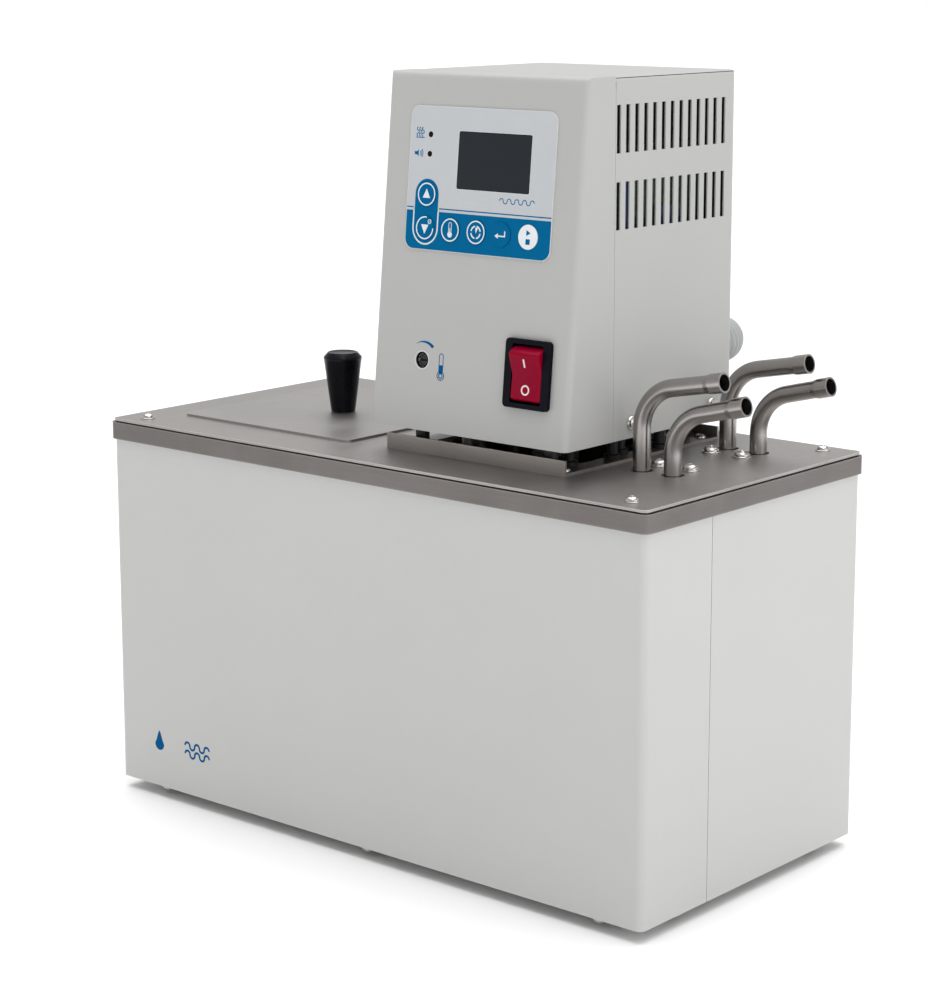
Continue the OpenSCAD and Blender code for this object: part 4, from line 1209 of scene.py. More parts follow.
class Stencil:
    """Flat figures in the XY plane, in millimetres, that become one thin raised print."""

    def __init__(self) -> None:
        """Starts empty."""
        self.figures: list[bpy.types.Object] = []

    def disc(self, x: float, y: float, radius: float, sides: int = 48) -> None:
        """Adds a filled disc.

        Args:
            x: the centre across.
            y: the centre up.
            radius: the disc's radius.
            sides: points on its edge.
        """
        begin()
        bpy.ops.mesh.primitive_circle_add(vertices=sides, radius=radius * MM, fill_type="NGON")
        figure = bpy.context.object
        settle(figure, Matrix.Translation((x * MM, y * MM, 0)))
        self.figures.append(figure)

    def drop(self, x: float, y: float, radius: float, tip: float) -> None:
        """Adds a drop: a disc whose upper half is drawn up into a tip that much higher.

        Args:
            x: the disc's centre across.
            y: the disc's centre up.
            radius: the disc's radius.
            tip: how much higher the tip reaches.
        """
        self.disc(x, y, radius)
        for point in self.figures[-1].data.vertices:
            share = max((point.co.y / MM - y) / radius, 0.0)
            point.co.y += share**3 * tip * MM
            point.co.x = x * MM + (point.co.x - x * MM) * (1.0 - 0.45 * share)

    def arc(self, x: float, y: float, inner: float, outer: float, start: float = 0.0, end: float = 360.0,
            sides: int = 72, taper: float = 0.0) -> None:
        """Adds a ring, or the stretch of it between two angles in degrees.

        Args:
            x: the centre across.
            y: the centre up.
            inner: inner radius.
            outer: outer radius.
            start: the lower angle, counted from +X towards +Y.
            end: the upper angle.
            sides: points on the whole ring.
            taper: how much of the width is lost by the end angle, 0 to 1.
        """
        begin()
        bpy.ops.mesh.primitive_circle_add(vertices=sides, radius=inner * MM)
        figure = bpy.context.object
        edit(figure)
        bpy.ops.mesh.extrude_region_move()
        bpy.ops.transform.resize(value=(outer / inner,) * 3, center_override=(0, 0, 0))
        begin()
        if end - start < 360.0:
            edit(figure, "FACE", lambda place: not start <= bearing(place, start) <= end)
            bpy.ops.mesh.delete(type="FACE")
            begin()
        if taper:
            for point in figure.data.vertices:
                if point.co.length > (inner + outer) / 2 * MM:
                    share = 1 - taper * min(max((bearing(point.co, start) - start) / (end - start), 0.0), 1.0)
                    point.co *= (inner + (outer - inner) * share) / outer
        settle(figure, Matrix.Translation((x * MM, y * MM, 0)))
        self.figures.append(figure)

    def bar(self, x0: float, y0: float, x1: float, y1: float, width: float) -> None:
        """Adds a straight bar between two points.

        Args:
            x0: the start across.
            y0: the start up.
            x1: the end across.
            y1: the end up.
            width: the bar's width.
        """
        begin()
        bpy.ops.mesh.primitive_plane_add(size=1.0)
        figure = bpy.context.object
        run = math.hypot(x1 - x0, y1 - y0)
        figure.scale = (run * MM, width * MM, 1)
        figure.rotation_euler.z = math.atan2(y1 - y0, x1 - x0)
        figure.location = ((x0 + x1) / 2 * MM, (y0 + y1) / 2 * MM, 0)
        settle(figure)
        self.figures.append(figure)

    def block(self, x0: float, y0: float, x1: float, y1: float, radius: float = 0.0,
              rounded: tuple[int, int] = (-1, 1)) -> None:
        """Adds a rectangle, rounded at the lower corners (-1), the upper ones (1), or both.

        Args:
            x0: the left side.
            y0: the lower side.
            x1: the right side.
            y1: the upper side.
            radius: the corners' radius.
            rounded: which corners are rounded.
        """
        begin()
        bpy.ops.mesh.primitive_plane_add(size=1.0)
        figure = bpy.context.object
        figure.scale = ((x1 - x0) * MM, (y1 - y0) * MM, 1)
        figure.location = ((x0 + x1) / 2 * MM, (y0 + y1) / 2 * MM, 0)
        settle(figure)
        if radius:
            middle = (y0 + y1) / 2 * MM
            edit(figure, "VERT", lambda place: (1 if place.y > middle else -1) in rounded)
            bpy.ops.mesh.bevel(offset=radius * MM, segments=10, affect="VERTICES")
            begin()
        self.figures.append(figure)

    def triangle(self, x: float, y: float, width: float, height: float, turn: float = 0.0) -> None:
        """Adds a triangle about its centre that points up, or turned left by an angle in degrees.

        Args:
            x: the centre across.
            y: the centre up.
            width: the foot's width.
            height: the height over the foot.
            turn: how far it is turned left, in degrees.
        """
        begin()
        bpy.ops.mesh.primitive_circle_add(vertices=3, radius=1.0, fill_type="NGON")
        figure = bpy.context.object
        figure.scale = (width * MM / math.sqrt(3), height * MM / 1.5, 1)
        settle(figure)
        figure.rotation_euler.z = math.radians(turn)
        figure.location = (x * MM, y * MM, 0)
        settle(figure)
        self.figures.append(figure)

    def wave(self, x: float, y: float, radius: float, width: float, halves: int,
             rising: bool = False) -> None:
        """Adds a wavy line of half rings, one after the other along X, or up along Y.

        Args:
            x: the middle across.
            y: the middle up.
            radius: middle radius of a half ring.
            width: the line's width.
            halves: how many half rings.
            rising: whether it runs up, not across.
        """
        for i in range(halves):
            along = (i - (halves - 1) / 2) * 2 * radius
            start = (180.0 if i % 2 else 0.0) + (90.0 if rising else 0.0)
            at = (x, y + along) if rising else (x + along, y)
            self.arc(*at, radius - width / 2, radius + width / 2, start, start + 180.0, sides=24)

    def lay(self, name: str, place: Matrix, level: float, thickness: float = 0.06) -> bpy.types.Object:
        """Joins the figures, thickens them and lays them on a face.

        Args:
            name: the print's name.
            place: the face: X across, Y up, Z outwards.
            level: height over the face in millimetres.
            thickness: thickness of the print in millimetres.

        Returns:
            The print, at the origin.
        """
        printed = join(self.figures, name)
        edit(printed)
        bpy.ops.mesh.remove_doubles(threshold=2e-6)
        bpy.ops.mesh.extrude_region_move(TRANSFORM_OT_translate={"value": (0, 0, thickness * MM)})
        begin()
        settle(printed, place @ Matrix.Translation((0, 0, level * MM)))
        tidy_shell(printed)
        return printed


# ---- control panel ----


@dataclass
class ControlPanel:
    """The leaning face: printed film, key pictograms, limiter marks and rocker.

    Places and sizes are in millimetres on the face, across and up from the middle of the film's foot.
    """

    lean: float = 5.5
    film_level: float = 0.5
    film_radius: float = 5.0
    edge: float = 0.3
    band_top: float = 17.5
    line_at: float = 18.9
    line_width: float = 0.5
    capsule_x: float = -30.4
    capsule_radius: float = 6.9
    outline: float = 0.75
    upper_key: float = 25.0
    lower_key: float = 9.9
    key_radius: float = 5.2
    key_gap: float = 0.3
    key_rise: float = 0.8
    print_height: float = 0.06
    ring: tuple[float, float] = (4.6, 5.2)
    cap_radius: float = 5.46
    capsule_step: float = 0.02
    outline_step: float = 0.03
    wave_at: tuple[float, float] = (22.0, 24.6)
    wave_radius: float = 1.1
    wave_width: float = 0.4
    wave_halves: int = 9
    heat_at: tuple[float, float] = (-36.4, 52.7)
    heat_step: float = 1.5
    heat_reach: float = 2.5
    buzzer_at: tuple[float, float] = (-37.0, 43.2)
    arrow: tuple[float, float] = (4.4, 4.2)
    ring_gap: tuple[float, float] = (2.0, 78.0)
    bell_at: tuple[float, float] = (2.75, 2.95)
    bell: tuple[float, float] = (0.75, 1.05)
    mark_height: float = 0.05
    limiter_hole: float = 3.8
    limiter_rim: float = 0.45
    limiter_at: tuple[float, float] = (-28.0, -49.7)
    limiter_arc: tuple[float, float, float, float] = (8.0, 9.6, 46.0, 118.0)
    gauge_x: float = 11.5
    gauge_top: float = 3.3
    gauge_foot: float = -6.1
    gauge_half: float = 1.15
    gauge_line: float = 0.38
    grommet_bore: float = 3.1
    grommet_depth: float = 1.15
    rocker_at: tuple[float, float] = (34.8, -49.7)
    rocker_width: float = 17.0
    rocker_reach: float = 12.6
    rocker_crest: tuple[float, float] = (10.3, 7.3)
    rocker_dip: float = 5.3
    rocker_skirt: tuple[float, float] = (9.0, -3.2)
    rocker_edge: float = 1.1
    sign_at: float = 6.0
    rocker_tilt: float = 9.0
    pivot_depth: float = 3.2

    def __post_init__(self) -> None:
        """Finds the film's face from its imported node."""
        low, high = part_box("keypad_film")
        lean = math.radians(self.lean)
        thickness = self.film_level * MM
        height = (high.z - low.z - thickness * math.sin(lean)) / math.cos(lean)
        origin = Vector(((low.x + high.x) / 2, high.y - height * math.sin(lean), low.z))
        self.width = (high.x - low.x) / MM
        turn = upright(Vector((1, 0, 0)), Vector((0, math.sin(lean), math.cos(lean))))
        self.face = Matrix.Translation(origin) @ turn

    def at(self, x: float, y: float, out: float = 0.0) -> Matrix:
        """The face's frame, moved by millimetres across, up and out."""
        return self.face @ Matrix.Translation((x * MM, y * MM, out * MM))

    def build(self) -> None:
        """Builds every print and detail of the panel."""
        self.print_band()
        self.print_lines()
        self.print_icons()
        self.print_keys()
        self.print_limiter_marks()
        self.build_grommet()
        self.build_rocker()

    def key_places(self) -> dict[str, tuple[float, float]]:
        """Centre of each key on the film, in millimetres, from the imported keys.

        Returns:
            The centres, by the keys' names.
        """
        back = self.face.inverted()
        places = {}
        for name in ("key_up", "key_down", "key_temperature", "key_timer", "key_enter", "key_start"):
            low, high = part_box(name)
            middle = back @ ((low + high) / 2)
            places[name] = (middle.x / MM, middle.y / MM)
        return places

    def cut_keys(self, printed: bpy.types.Object) -> None:
        """Cuts the holes of the keys into a print.

        Args:
            printed: the print.
        """
        cutters = Stencil()
        for x, y in self.key_places().values():
            cutters.disc(x, y, self.key_radius + self.key_gap)
        tool = cutters.lay("key_cutter", self.face, -2.0, 6.0)
        use_modifier(printed, "BOOLEAN", object=tool, operation="DIFFERENCE", solver="EXACT")
        bpy.data.objects.remove(tool)

    def print_band(self) -> None:
        """Prints the blue band and the capsule of the two arrow keys."""
        band = Stencil()
        half = self.width / 2 - self.edge
        band.block(-half, self.edge, half, self.band_top, self.film_radius - self.edge, rounded=(-1,))
        band.block(self.capsule_x - self.capsule_radius, self.lower_key - self.capsule_radius,
                   self.capsule_x + self.capsule_radius, self.upper_key + self.capsule_radius,
                   self.capsule_radius - 0.01)
        lower = band.figures.pop()
        upper = band.lay("film_band", self.face, self.film_level)
        self.cut_keys(upper)
        capsule = Stencil()
        capsule.figures.append(lower)
        raised = capsule.lay("film_capsule", self.face, self.film_level + self.capsule_step)
        self.cut_keys(raised)
        for piece in (upper, raised):
            tidy_shell(piece)
            install(piece, Palette.film_blue, "root")

    def print_lines(self) -> None:
        """Prints the thin line over the band, the capsule's outline and a plain wave under the display."""
        half = self.width / 2 - self.edge
        gap = self.capsule_radius + self.outline
        line = Stencil()
        for x0, x1 in ((-half, self.capsule_x - gap), (self.capsule_x + gap, half)):
            line.bar(x0, self.line_at, x1, self.line_at, self.line_width)
        line.wave(*self.wave_at, self.wave_radius, self.wave_width, self.wave_halves)
        install(line.lay("film_line", self.face, self.film_level), Palette.film_blue, "root")
        outline = Stencil()
        outline.arc(self.capsule_x, self.lower_key, self.capsule_radius, gap, 180.0, 360.0)
        for side in (-1, 1):
            x = self.capsule_x + side * (self.capsule_radius + self.outline / 2)
            outline.bar(x, self.lower_key, x, self.band_top + 0.05, self.outline)
        raised = outline.lay("film_outline", self.face, self.film_level + self.outline_step)
        install(raised, Palette.film_pale, "root")

    def print_icons(self) -> None:
        """Prints the heating and the buzzer pictograms beside the lamps."""
        icons = Stencil()
        x, y = self.heat_at
        for side in (-1, 0, 1):
            icons.wave(x + side * self.heat_step, y, 0.66, self.wave_width, 3, rising=True)
        plate = y - self.heat_reach
        icons.bar(x - self.heat_reach, plate, x + self.heat_reach, plate, 0.35)
        x, y = self.buzzer_at
        icons.block(x - 2.2, y - 0.7, x - 1.1, y + 0.7)
        icons.triangle(x - 0.5, y, 3.0, 1.9, 90.0)
        for radius in (1.2, 1.9, 2.6):
            icons.arc(x, y, radius, radius + 0.28, -42.0, 42.0)
        install(icons.lay("film_icons", self.face, self.film_level), Palette.film_blue, "root")

    def print_keys(self) -> None:
        """Prints each key's ring and pictogram, which move with the key."""
        figures = {
            "key_up": self.draw_up, "key_down": self.draw_down, "key_temperature": self.draw_thermometer,
            "key_timer": self.draw_timer, "key_enter": self.draw_enter, "key_start": self.draw_start,
        }
        for key, (x, y) in self.key_places().items():
            white = key == "key_start"
            cap = Stencil()
            cap.disc(0, 0, self.cap_radius, 64)
            face = cap.lay(f"{key}_face", self.at(x, y), self.key_rise, self.print_height)
            install(face, Palette.key_white if white else Palette.key_blue, key)
            drawing = Stencil()
            figures[key](drawing)
            printed = drawing.lay(f"{key}_mark", self.at(x, y), self.key_rise + self.print_height, 0.04)
            install(printed, Palette.start_mark if white else Palette.key_mark, key)

    def draw_up(self, drawing: Stencil) -> None:
        """Draws a ring and an arrowhead up.

        Args:
            drawing: the key's stencil.
        """
        drawing.arc(0, 0, *self.ring)
        drawing.triangle(0, -0.25, *self.arrow)

    def draw_down(self, drawing: Stencil) -> None:
        """Draws an open ring, an arrowhead down and a small crossed bell in the ring's gap.

        Args:
            drawing: the key's stencil.
        """
        gap_start, gap_end = self.ring_gap
        drawing.arc(0, 0, *self.ring, gap_end, gap_start + 360.0)
        drawing.triangle(0, 0.1, *self.arrow, 180.0)
        drawing.arc(*self.bell_at, *self.bell, sides=16)
        x, y = self.bell_at
        drawing.bar(x - 0.9, y - 0.9, x + 0.85, y + 0.85, 0.28)

    def draw_thermometer(self, drawing: Stencil) -> None:
        """Draws a ring and a thermometer.

        Args:
            drawing: the key's stencil.
        """
        drawing.arc(0, 0, *self.ring)
        drawing.disc(0, -2.0, 1.35)
        for side in (-1, 1):
            drawing.bar(side * 0.75, -1.2, side * 0.75, 2.6, 0.3)
        drawing.arc(0, 2.6, 0.6, 0.9, 0.0, 180.0, sides=24)
        drawing.bar(0, -1.4, 0, 0.9, 0.5)

    def draw_timer(self, drawing: Stencil) -> None:
        """Draws a ring and a dial with a wedge for the time left.

        Args:
            drawing: the key's stencil.
        """
        drawing.arc(0, 0, *self.ring)
        for start in (10.0, 100.0, 190.0, 280.0):
            drawing.arc(0, 0, 2.35, 3.0, start - 2.0, start + 72.0)
        drawing.triangle(0.35, 1.2, 1.5, 2.6, 172.0)

    def draw_enter(self, drawing: Stencil) -> None:
        """Draws the enter arrow.

        Args:
            drawing: the key's stencil.
        """
        drawing.bar(-1.6, -0.7, 2.6, -0.7, 0.6)
        drawing.bar(2.3, -0.4, 2.3, 1.6, 0.6)
        drawing.triangle(-2.2, -0.7, 2.4, 1.9, 90.0)

    def draw_start(self, drawing: Stencil) -> None:
        """Draws a start triangle over a stop square.

        Args:
            drawing: the key's stencil.
        """
        drawing.triangle(-0.2, 1.75, 2.6, 2.3, -90.0)
        drawing.block(-1.2, -3.3, 1.2, -0.9, 0.15)

    def print_limiter_marks(self) -> None:
        """Prints the widening arc over the limiter's hole and the thermometer beside it."""
        marks = Stencil()
        x, y = self.limiter_at
        marks.arc(x, y, *self.limiter_arc, taper=0.95)
        middle, bulb = x + self.gauge_x, y + self.gauge_foot
        half, line = self.gauge_half, self.gauge_line
        round_top = y + self.gauge_top - 0.6
        marks.arc(middle, bulb, 1.75, 2.2, -238.0, 58.0)
        for side in (-1, 1):
            marks.bar(middle + side * half, bulb + 1.7, middle + side * half, round_top, line)
        marks.arc(middle, round_top, half - line / 2, half + line / 2, 0.0, 180.0, sides=32)
        marks.bar(middle, bulb + 0.8, middle, round_top - 4.0, 1.9)
        marks.arc(middle, bulb, 0.8, 1.3, sides=32)
        install(marks.lay("limiter_marks", self.face, 0.0, self.mark_height), Palette.mark_blue, "root")
        ring = Stencil()
        ring.arc(x, y, self.limiter_hole, self.limiter_hole + self.limiter_rim)
        install(ring.lay("limiter_ring", self.face, 0.0, self.mark_height), Palette.film_pale, "root")

    def build_grommet(self) -> None:
        """Turns the black grommet that lines the limiter's hole."""
        start = self.at(*self.limiter_at, -self.grommet_depth).translation
        bore, wide = self.grommet_bore, self.limiter_hole - 0.05
        grommet = Lathe("limiter_grommet", start, -self.face.col[2].xyz, bore * MM, 48)
        grommet.profile([(0.0, wide), (-0.8, wide), (-1.05, wide - 0.25), (-1.05, bore + 0.05), (-0.9, bore),
                         (0.0, bore)])
        install(grommet.finish(), Palette.switch, "root")

    def build_rocker(self) -> None:
        """Builds the rocker's cap with its rounded ends."""
        reach, dip = self.rocker_reach, (0.0, self.rocker_dip)
        end = [(reach * math.cos(angle), reach * math.sin(angle)) for angle in (0.45, 0.22, -0.05)]
        half = [self.rocker_crest, *end, self.rocker_skirt]
        section = [dip, *half, *((-y, z) for y, z in reversed(half))]
        rocker = fold("rocker_cap", self.rocker_width, section)
        use_modifier(rocker, "BEVEL", width=self.rocker_edge * MM, segments=5, limit_method="ANGLE",
                     angle_limit=math.radians(30.0))
        turned = self.at(*self.rocker_at, -self.pivot_depth)
        turned = turned @ Matrix.Rotation(math.radians(self.rocker_tilt), 4, "X")
        settle(rocker, turned)
        tidy_shell(rocker, 40.0)
        install(rocker, Palette.rocker, "rocker", "switch_rocker")
        self.print_signs(turned)

    def print_signs(self, turned: Matrix) -> None:
        """Prints the line and the circle on the rocker's two slopes.

        Args:
            turned: the rocker's frame: X along its pivot, Z out.
        """
        out, crest = self.rocker_crest
        slope = math.atan2(crest - self.rocker_dip, out)
        rise = self.rocker_dip + self.sign_at * math.tan(slope)
        for sign, side in (("line", 1), ("circle", -1)):
            drawing = Stencil()
            if sign == "line":
                drawing.bar(0, -2.0, 0, 2.0, 0.85)
            else:
                drawing.arc(0, 0, 1.6, 2.3)
            middle = Matrix.Translation((0, side * self.sign_at * MM, rise * MM))
            place = turned @ middle @ Matrix.Rotation(side * slope, 4, "X")
            printed = drawing.lay(f"rocker_{sign}", place, 0.0, self.print_height)
            install(printed, Palette.rocker_mark, "rocker")


# ---- knob, hose and screws ----


@dataclass
class LidKnob:
    """The turned black knob of the lid, with a dished top: (height, radius) pairs in millimetres."""

    sides: int = 64
    foot: float = 5.2
    profile: tuple[tuple[float, float], ...] = (
        (0.0, 5.6), (0.4, 5.95), (1.0, 6.1), (14.0, 7.8), (25.6, 9.3), (26.6, 9.5), (27.2, 9.45),
        (27.6, 9.25), (29.2, 7.75), (29.6, 7.45), (29.7, 7.15), (29.65, 6.8), (29.4, 6.3), (29.2, 3.0),
        (29.15, 0.6),
    )

    def build(self) -> None:
        """Turns the knob round its axis."""
        low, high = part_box("lid_knob")
        centre = Vector(((low.x + high.x) / 2, (low.y + high.y) / 2, low.z))
        turned = Lathe("knob", centre, Vector((0, 0, 1)), self.foot * MM, self.sides)
        turned.profile(list(self.profile))
        install(turned.finish(25.0), Palette.knob, "lid", "lid_knob")


@dataclass
class RearHose:
    """The ribbed hose behind the head, looped from one port to the other, with its two cuffs.

    Sizes are in millimetres. wall_y is where the head's back wall stands in the shared frame.
    """

    outer: float = 10.5
    valley: float = 9.1
    pitch: float = 2.6
    tail: float = 5.0
    straight_ribs: int = 5
    bend_ribs: int = 22
    port_reach: float = 18.0
    wall_y: float = 67.5
    cuff_bore: float = 8.6
    cuff_gap: float = 0.1
    cuff: tuple[tuple[float, float], ...] = (
        (0.0, 8.6), (0.0, 11.2), (3.4, 11.2), (4.2, 10.6), (4.2, 8.6), (0.0, 8.6),
    )

    def build(self) -> None:
        """Builds the ribs ring by ring and turns the cuffs."""
        low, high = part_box("rear_hose")
        middle = Vector(((low.x + high.x) / 2, self.wall_y * MM, (low.z + high.z) / 2))
        start = middle + Vector((self.port_reach, 0, 0)) * MM
        tail = Vector((0, self.tail * MM, 0))
        hose = Lathe("ribbed_hose", start - tail, Vector((0, 1, 0)), self.valley * MM, 36)
        hose.step(self.tail * MM, self.valley * MM)
        for _ in range(self.straight_ribs):
            self.add_rib(hose)
        pivot = middle + Vector((0, self.straight_ribs * self.pitch * MM, 0))
        turn = math.pi / self.bend_ribs / len(self.rib())
        for _ in range(self.bend_ribs):
            for radius in self.rib():
                hose.turn(turn, Vector((0, 0, 1)), pivot, radius * MM)
        for _ in range(self.straight_ribs):
            self.add_rib(hose)
        hose.step(self.tail * MM, self.valley * MM)
        install(hose.finish(60.0), Palette.hose, "root", "rear_hose")
        for i, side in enumerate((-1, 1)):
            foot = middle + Vector((side * self.port_reach, self.cuff_gap, 0)) * MM
            cuff = Lathe(f"hose_cuff_{i + 1}", foot, Vector((0, 1, 0)), self.cuff_bore * MM, 48)
            cuff.profile(list(self.cuff))
            install(cuff.finish(), Palette.switch, "root")

    def rib(self) -> tuple[float, float, float, float]:
        """The radii of a rib's four rings: up, crest, down and valley.

        Returns:
            The radii in millimetres.
        """
        shoulder = self.valley + (self.outer - self.valley) * 0.75
        return shoulder, self.outer, shoulder, self.valley

    def add_rib(self, hose: Lathe) -> None:
        """Adds one rib on a straight stretch.

        Args:
            hose: the hose that grows.
        """
        for radius in self.rib():
            hose.step(self.pitch / len(self.rib()) * MM, radius * MM)


@dataclass
class ScrewSet:
    """A set of alike dome-headed screws with cross recesses, washers, shanks and nuts.

    Sizes are in millimetres: radii of the head, shank and washer, and the nut across its flats. Heights
    are measured from the seat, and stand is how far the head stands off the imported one's seat.
    """

    node: str
    head: float
    rise: float
    shank: float
    length: float
    washer: float = 0.0
    washer_rise: float = 0.0
    nut: float = 0.0
    nut_rise: float = 2.4
    nut_depth: float = 0.0
    stand: float = 0.0
    axis: int = 2
    toward: int = 1

    def build(self) -> None:
        """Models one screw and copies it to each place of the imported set."""
        places = [self.place(*box) for box in self.screws()]
        parts = [self.shape_head(), self.shape_shank()]
        if self.washer:
            parts.append(self.shape_washer())
        if self.nut:
            parts.append(self.shape_nut())
        screw = join(parts, "screw")
        install(copies(screw, places, f"{self.node}_fitted"), Palette.screw, "root", self.node)

    def screws(self) -> list[tuple[Vector, Vector]]:
        """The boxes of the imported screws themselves, without washers and nuts.

        Returns:
            The lowest and highest corner of each screw.
        """
        boxes = solids(self.node)
        longest = max((high - low)[self.axis] for low, high in boxes)
        return [box for box in boxes if (box[1] - box[0])[self.axis] > longest * 0.9]

    def place(self, low: Vector, high: Vector) -> Matrix:
        """The frame of one screw: its seat under the head, with Z out of the surface.

        Args:
            low: the screw's lowest corner.
            high: its highest corner.

        Returns:
            The frame.
        """
        middle = (low + high) / 2
        outward = self.toward
        if self.axis == 0:
            left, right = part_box("head_base")
            outward = 1 if middle.x > (left.x + right.x) / 2 else -1
        seat = middle.copy()
        top = high[self.axis] if outward > 0 else low[self.axis]
        seat[self.axis] = top - outward * (self.rise - self.stand) * MM
        out = Vector([outward if i == self.axis else 0 for i in range(3)])
        return Matrix.Translation(seat) @ out.to_track_quat("Z", "Y").to_matrix().to_4x4()

    def shape_head(self) -> bpy.types.Object:
        """Turns the domed head and sinks its cross recess.

        Returns:
            The head, with its seat at the origin.
        """
        head, rise = self.head, self.rise
        turned = Lathe("screw_head", Vector((0, 0, 0)), Vector((0, 0, 1)), head * 0.94 * MM, 32)
        turned.profile([(0.12, head), (rise * 0.35, head * 0.97), (rise * 0.62, head * 0.84),
                        (rise * 0.84, head * 0.6), (rise * 0.97, head * 0.3), (rise, head * 0.06)])
        piece = turned.finish(40.0)
        cross = Stencil()
        for end in ((head * 0.5, 0), (0, head * 0.5)):
            cross.bar(-end[0], -end[1], *end, head * 0.2)
        cutter = cross.lay("cross_cutter", Matrix.Identity(4), rise * 0.45, rise)
        use_modifier(piece, "BOOLEAN", object=cutter, operation="DIFFERENCE", solver="EXACT", use_self=True)
        bpy.data.objects.remove(cutter)
        return piece

    def shape_shank(self) -> bpy.types.Object:
        """Turns the shank, with a cone at its end.

        Returns:
            The shank, down from the origin.
        """
        turned = Lathe("screw_shank", Vector((0, 0, 0)), Vector((0, 0, -1)), self.shank * MM, 20)
        turned.profile([(self.length - self.shank * 0.5, self.shank), (self.length, self.shank * 0.6)])
        return turned.finish()

    def shape_washer(self) -> bpy.types.Object:
        """Turns the washer with a softened edge.

        Returns:
            The washer, under the origin.
        """
        bore, outer, rise = self.shank + 0.2, self.washer, self.washer_rise
        turned = Lathe("screw_washer", Vector((0, 0, -rise * MM)), Vector((0, 0, 1)), bore * MM, 36)
        top = rise * 0.98
        turned.profile([(0.0, outer), (rise * 0.75, outer), (top, outer - 0.2), (top, bore), (0.0, bore)])
        return turned.finish()

    def shape_nut(self) -> bpy.types.Object:
        """Shapes the hexagon nut on the shank's far end.

        Returns:
            The nut, on the shank.
        """
        start = Vector((0, 0, -self.nut_depth * MM))
        bore, wide, rise = self.shank + 0.05, self.nut / math.sqrt(3), self.nut_rise
        corner, chamfer = wide * 0.92, 0.25
        turned = Lathe("screw_nut", start, Vector((0, 0, -1)), bore * MM, 6)
        turned.profile([(0.0, corner), (chamfer, wide), (rise - chamfer, wide), (rise, corner), (rise, bore),
                        (0.0, bore)])
        return turned.finish()


SCREW_SETS = (
    ScrewSet("cover_screws", 2.9, 2.0, 1.45, 7.6, washer=3.5, washer_rise=0.6, nut=5.0, nut_depth=5.5),
    ScrewSet("bracket_screws", 3.7, 2.3, 1.95, 8.2, washer=4.5, washer_rise=0.8, nut=7.0, nut_rise=3.2,
             nut_depth=4.4),
    ScrewSet("tray_screws", 2.7, 1.8, 1.45, 5.3, nut=5.0, nut_depth=2.4),
    ScrewSet("cover_side_screws", 3.4, 2.2, 1.45, 7.0, axis=0),
    ScrewSet("casing_screws", 3.1, 2.3, 1.45, 7.6, washer=3.9, washer_rise=2.4, stand=2.4, toward=-1),
)


@dataclass
class HeadSeam:
    """The painted lip behind the seam between the head's two shells, on each side, in millimetres."""

    wall: float = 1.2
    gap: float = 0.4
    recess: float = 0.15
    lip_reach: float = 1.4
    lip_thickness: float = 0.8
    top_inset: float = 5.0

    def build(self) -> None:
        """Lays a lip inside each side wall and a rib that fills the seam to just under the surface."""
        low, high = (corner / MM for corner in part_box("rear_cover"))
        base_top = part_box("head_base")[1].z / MM
        side = upright(Vector((0, 1, 0)), Vector((0, 0, 1)))
        seam = low.y - self.gap / 2
        top = high.z - self.top_inset
        rib_depth = self.wall - self.recess
        parts = []
        for lip_at, rib_at in ((low.x + self.wall, low.x + self.recess),
                               (high.x - self.wall - self.lip_thickness, high.x - self.wall)):
            lip = Stencil()
            lip.block(seam - self.lip_reach, base_top + 1.0, seam + self.lip_reach, top, 0.4)
            parts.append(lip.lay("seam_lip", side, lip_at, self.lip_thickness))
            rib = Stencil()
            rib.block(seam - self.gap * 0.45, low.z + 0.5, seam + self.gap * 0.45, top, 0.05)
            parts.append(rib.lay("seam_rib", side, rib_at, rib_depth))
        install(join(parts, "head_seam_lip"), Palette.head, "root")


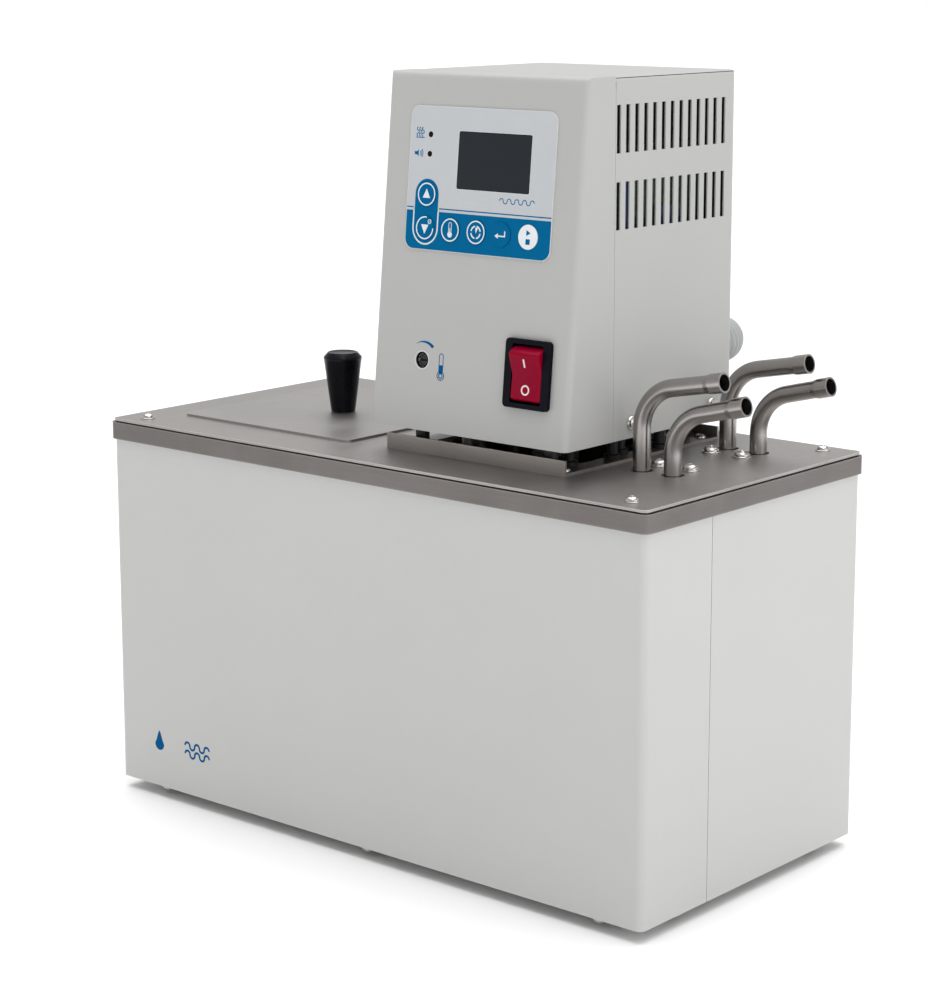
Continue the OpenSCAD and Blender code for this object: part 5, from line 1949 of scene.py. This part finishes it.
@dataclass
class Casing:
    """The blue pictogram on the front casing and the leads under the head, in millimetres."""

    mark_at: tuple[float, float] = (-135.5, 29.0)
    mark_step: float = 27.0
    drop: tuple[float, float] = (3.2, 3.6)
    wave: tuple[float, float] = (1.7, 1.1)
    wave_halves: int = 5
    mark_height: float = 0.05
    tray_sheet: float = 1.2
    lead_radius: float = 2.6
    lead_places: tuple[tuple[float, float], ...] = (
        (84.0, -33.0), (78.0, -27.0), (89.0, -8.0), (84.0, 4.0), (90.0, 26.0),
    )

    def build(self) -> None:
        """Prints the pictogram and stands the leads."""
        self.print_mark()
        self.build_leads()

    def print_mark(self) -> None:
        """Prints a drop over waves, as a plain sign for a water bath."""
        low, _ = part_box("front_casing")
        place = Matrix.Translation((0, low.y, 0)) @ upright(Vector((1, 0, 0)), Vector((0, 0, 1)))
        mark = Stencil()
        x, z = self.mark_at
        mark.drop(x, z - 1.2, *self.drop)
        for row in (-2.3, 1.9):
            mark.wave(x + self.mark_step, z + row, *self.wave, self.wave_halves)
        install(mark.lay("casing_mark", place, 0.0, self.mark_height), Palette.mark_blue, "root")

    def build_leads(self) -> None:
        """Turns one sleeved lead with its collars and stands a copy at each place under the head."""
        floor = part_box("head_tray")[0].z + self.tray_sheet * MM
        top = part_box("head_base")[0].z
        height = (top - floor) / MM
        radius = self.lead_radius
        foot, collar = radius * 1.5, radius * 1.6
        turned = Lathe("lead", Vector((0, 0, floor)), Vector((0, 0, 1)), foot * MM, 24)
        turned.profile([(1.6, foot), (2.0, radius * 1.2), (2.1, radius), (height - 3.2, radius),
                        (height - 3.0, collar), (height - 0.1, collar)])
        lead = turned.finish()
        places = [Matrix.Translation((x * MM, y * MM, 0)) for x, y in self.lead_places]
        install(copies(lead, places, "head_leads"), Palette.lead, "root")


def main() -> None:
    """Builds the studio and every sub-assembly, in order."""
    logging.basicConfig(level=logging.INFO, format="%(name)s: %(message)s")
    Studio().build()
    dress_frame()
    ControlPanel().build()
    LidKnob().build()
    RearHose().build()
    for screw_set in SCREW_SETS:
        screw_set.build()
    HeadSeam().build()
    Casing().build()


if __name__ == "__main__":
    main()
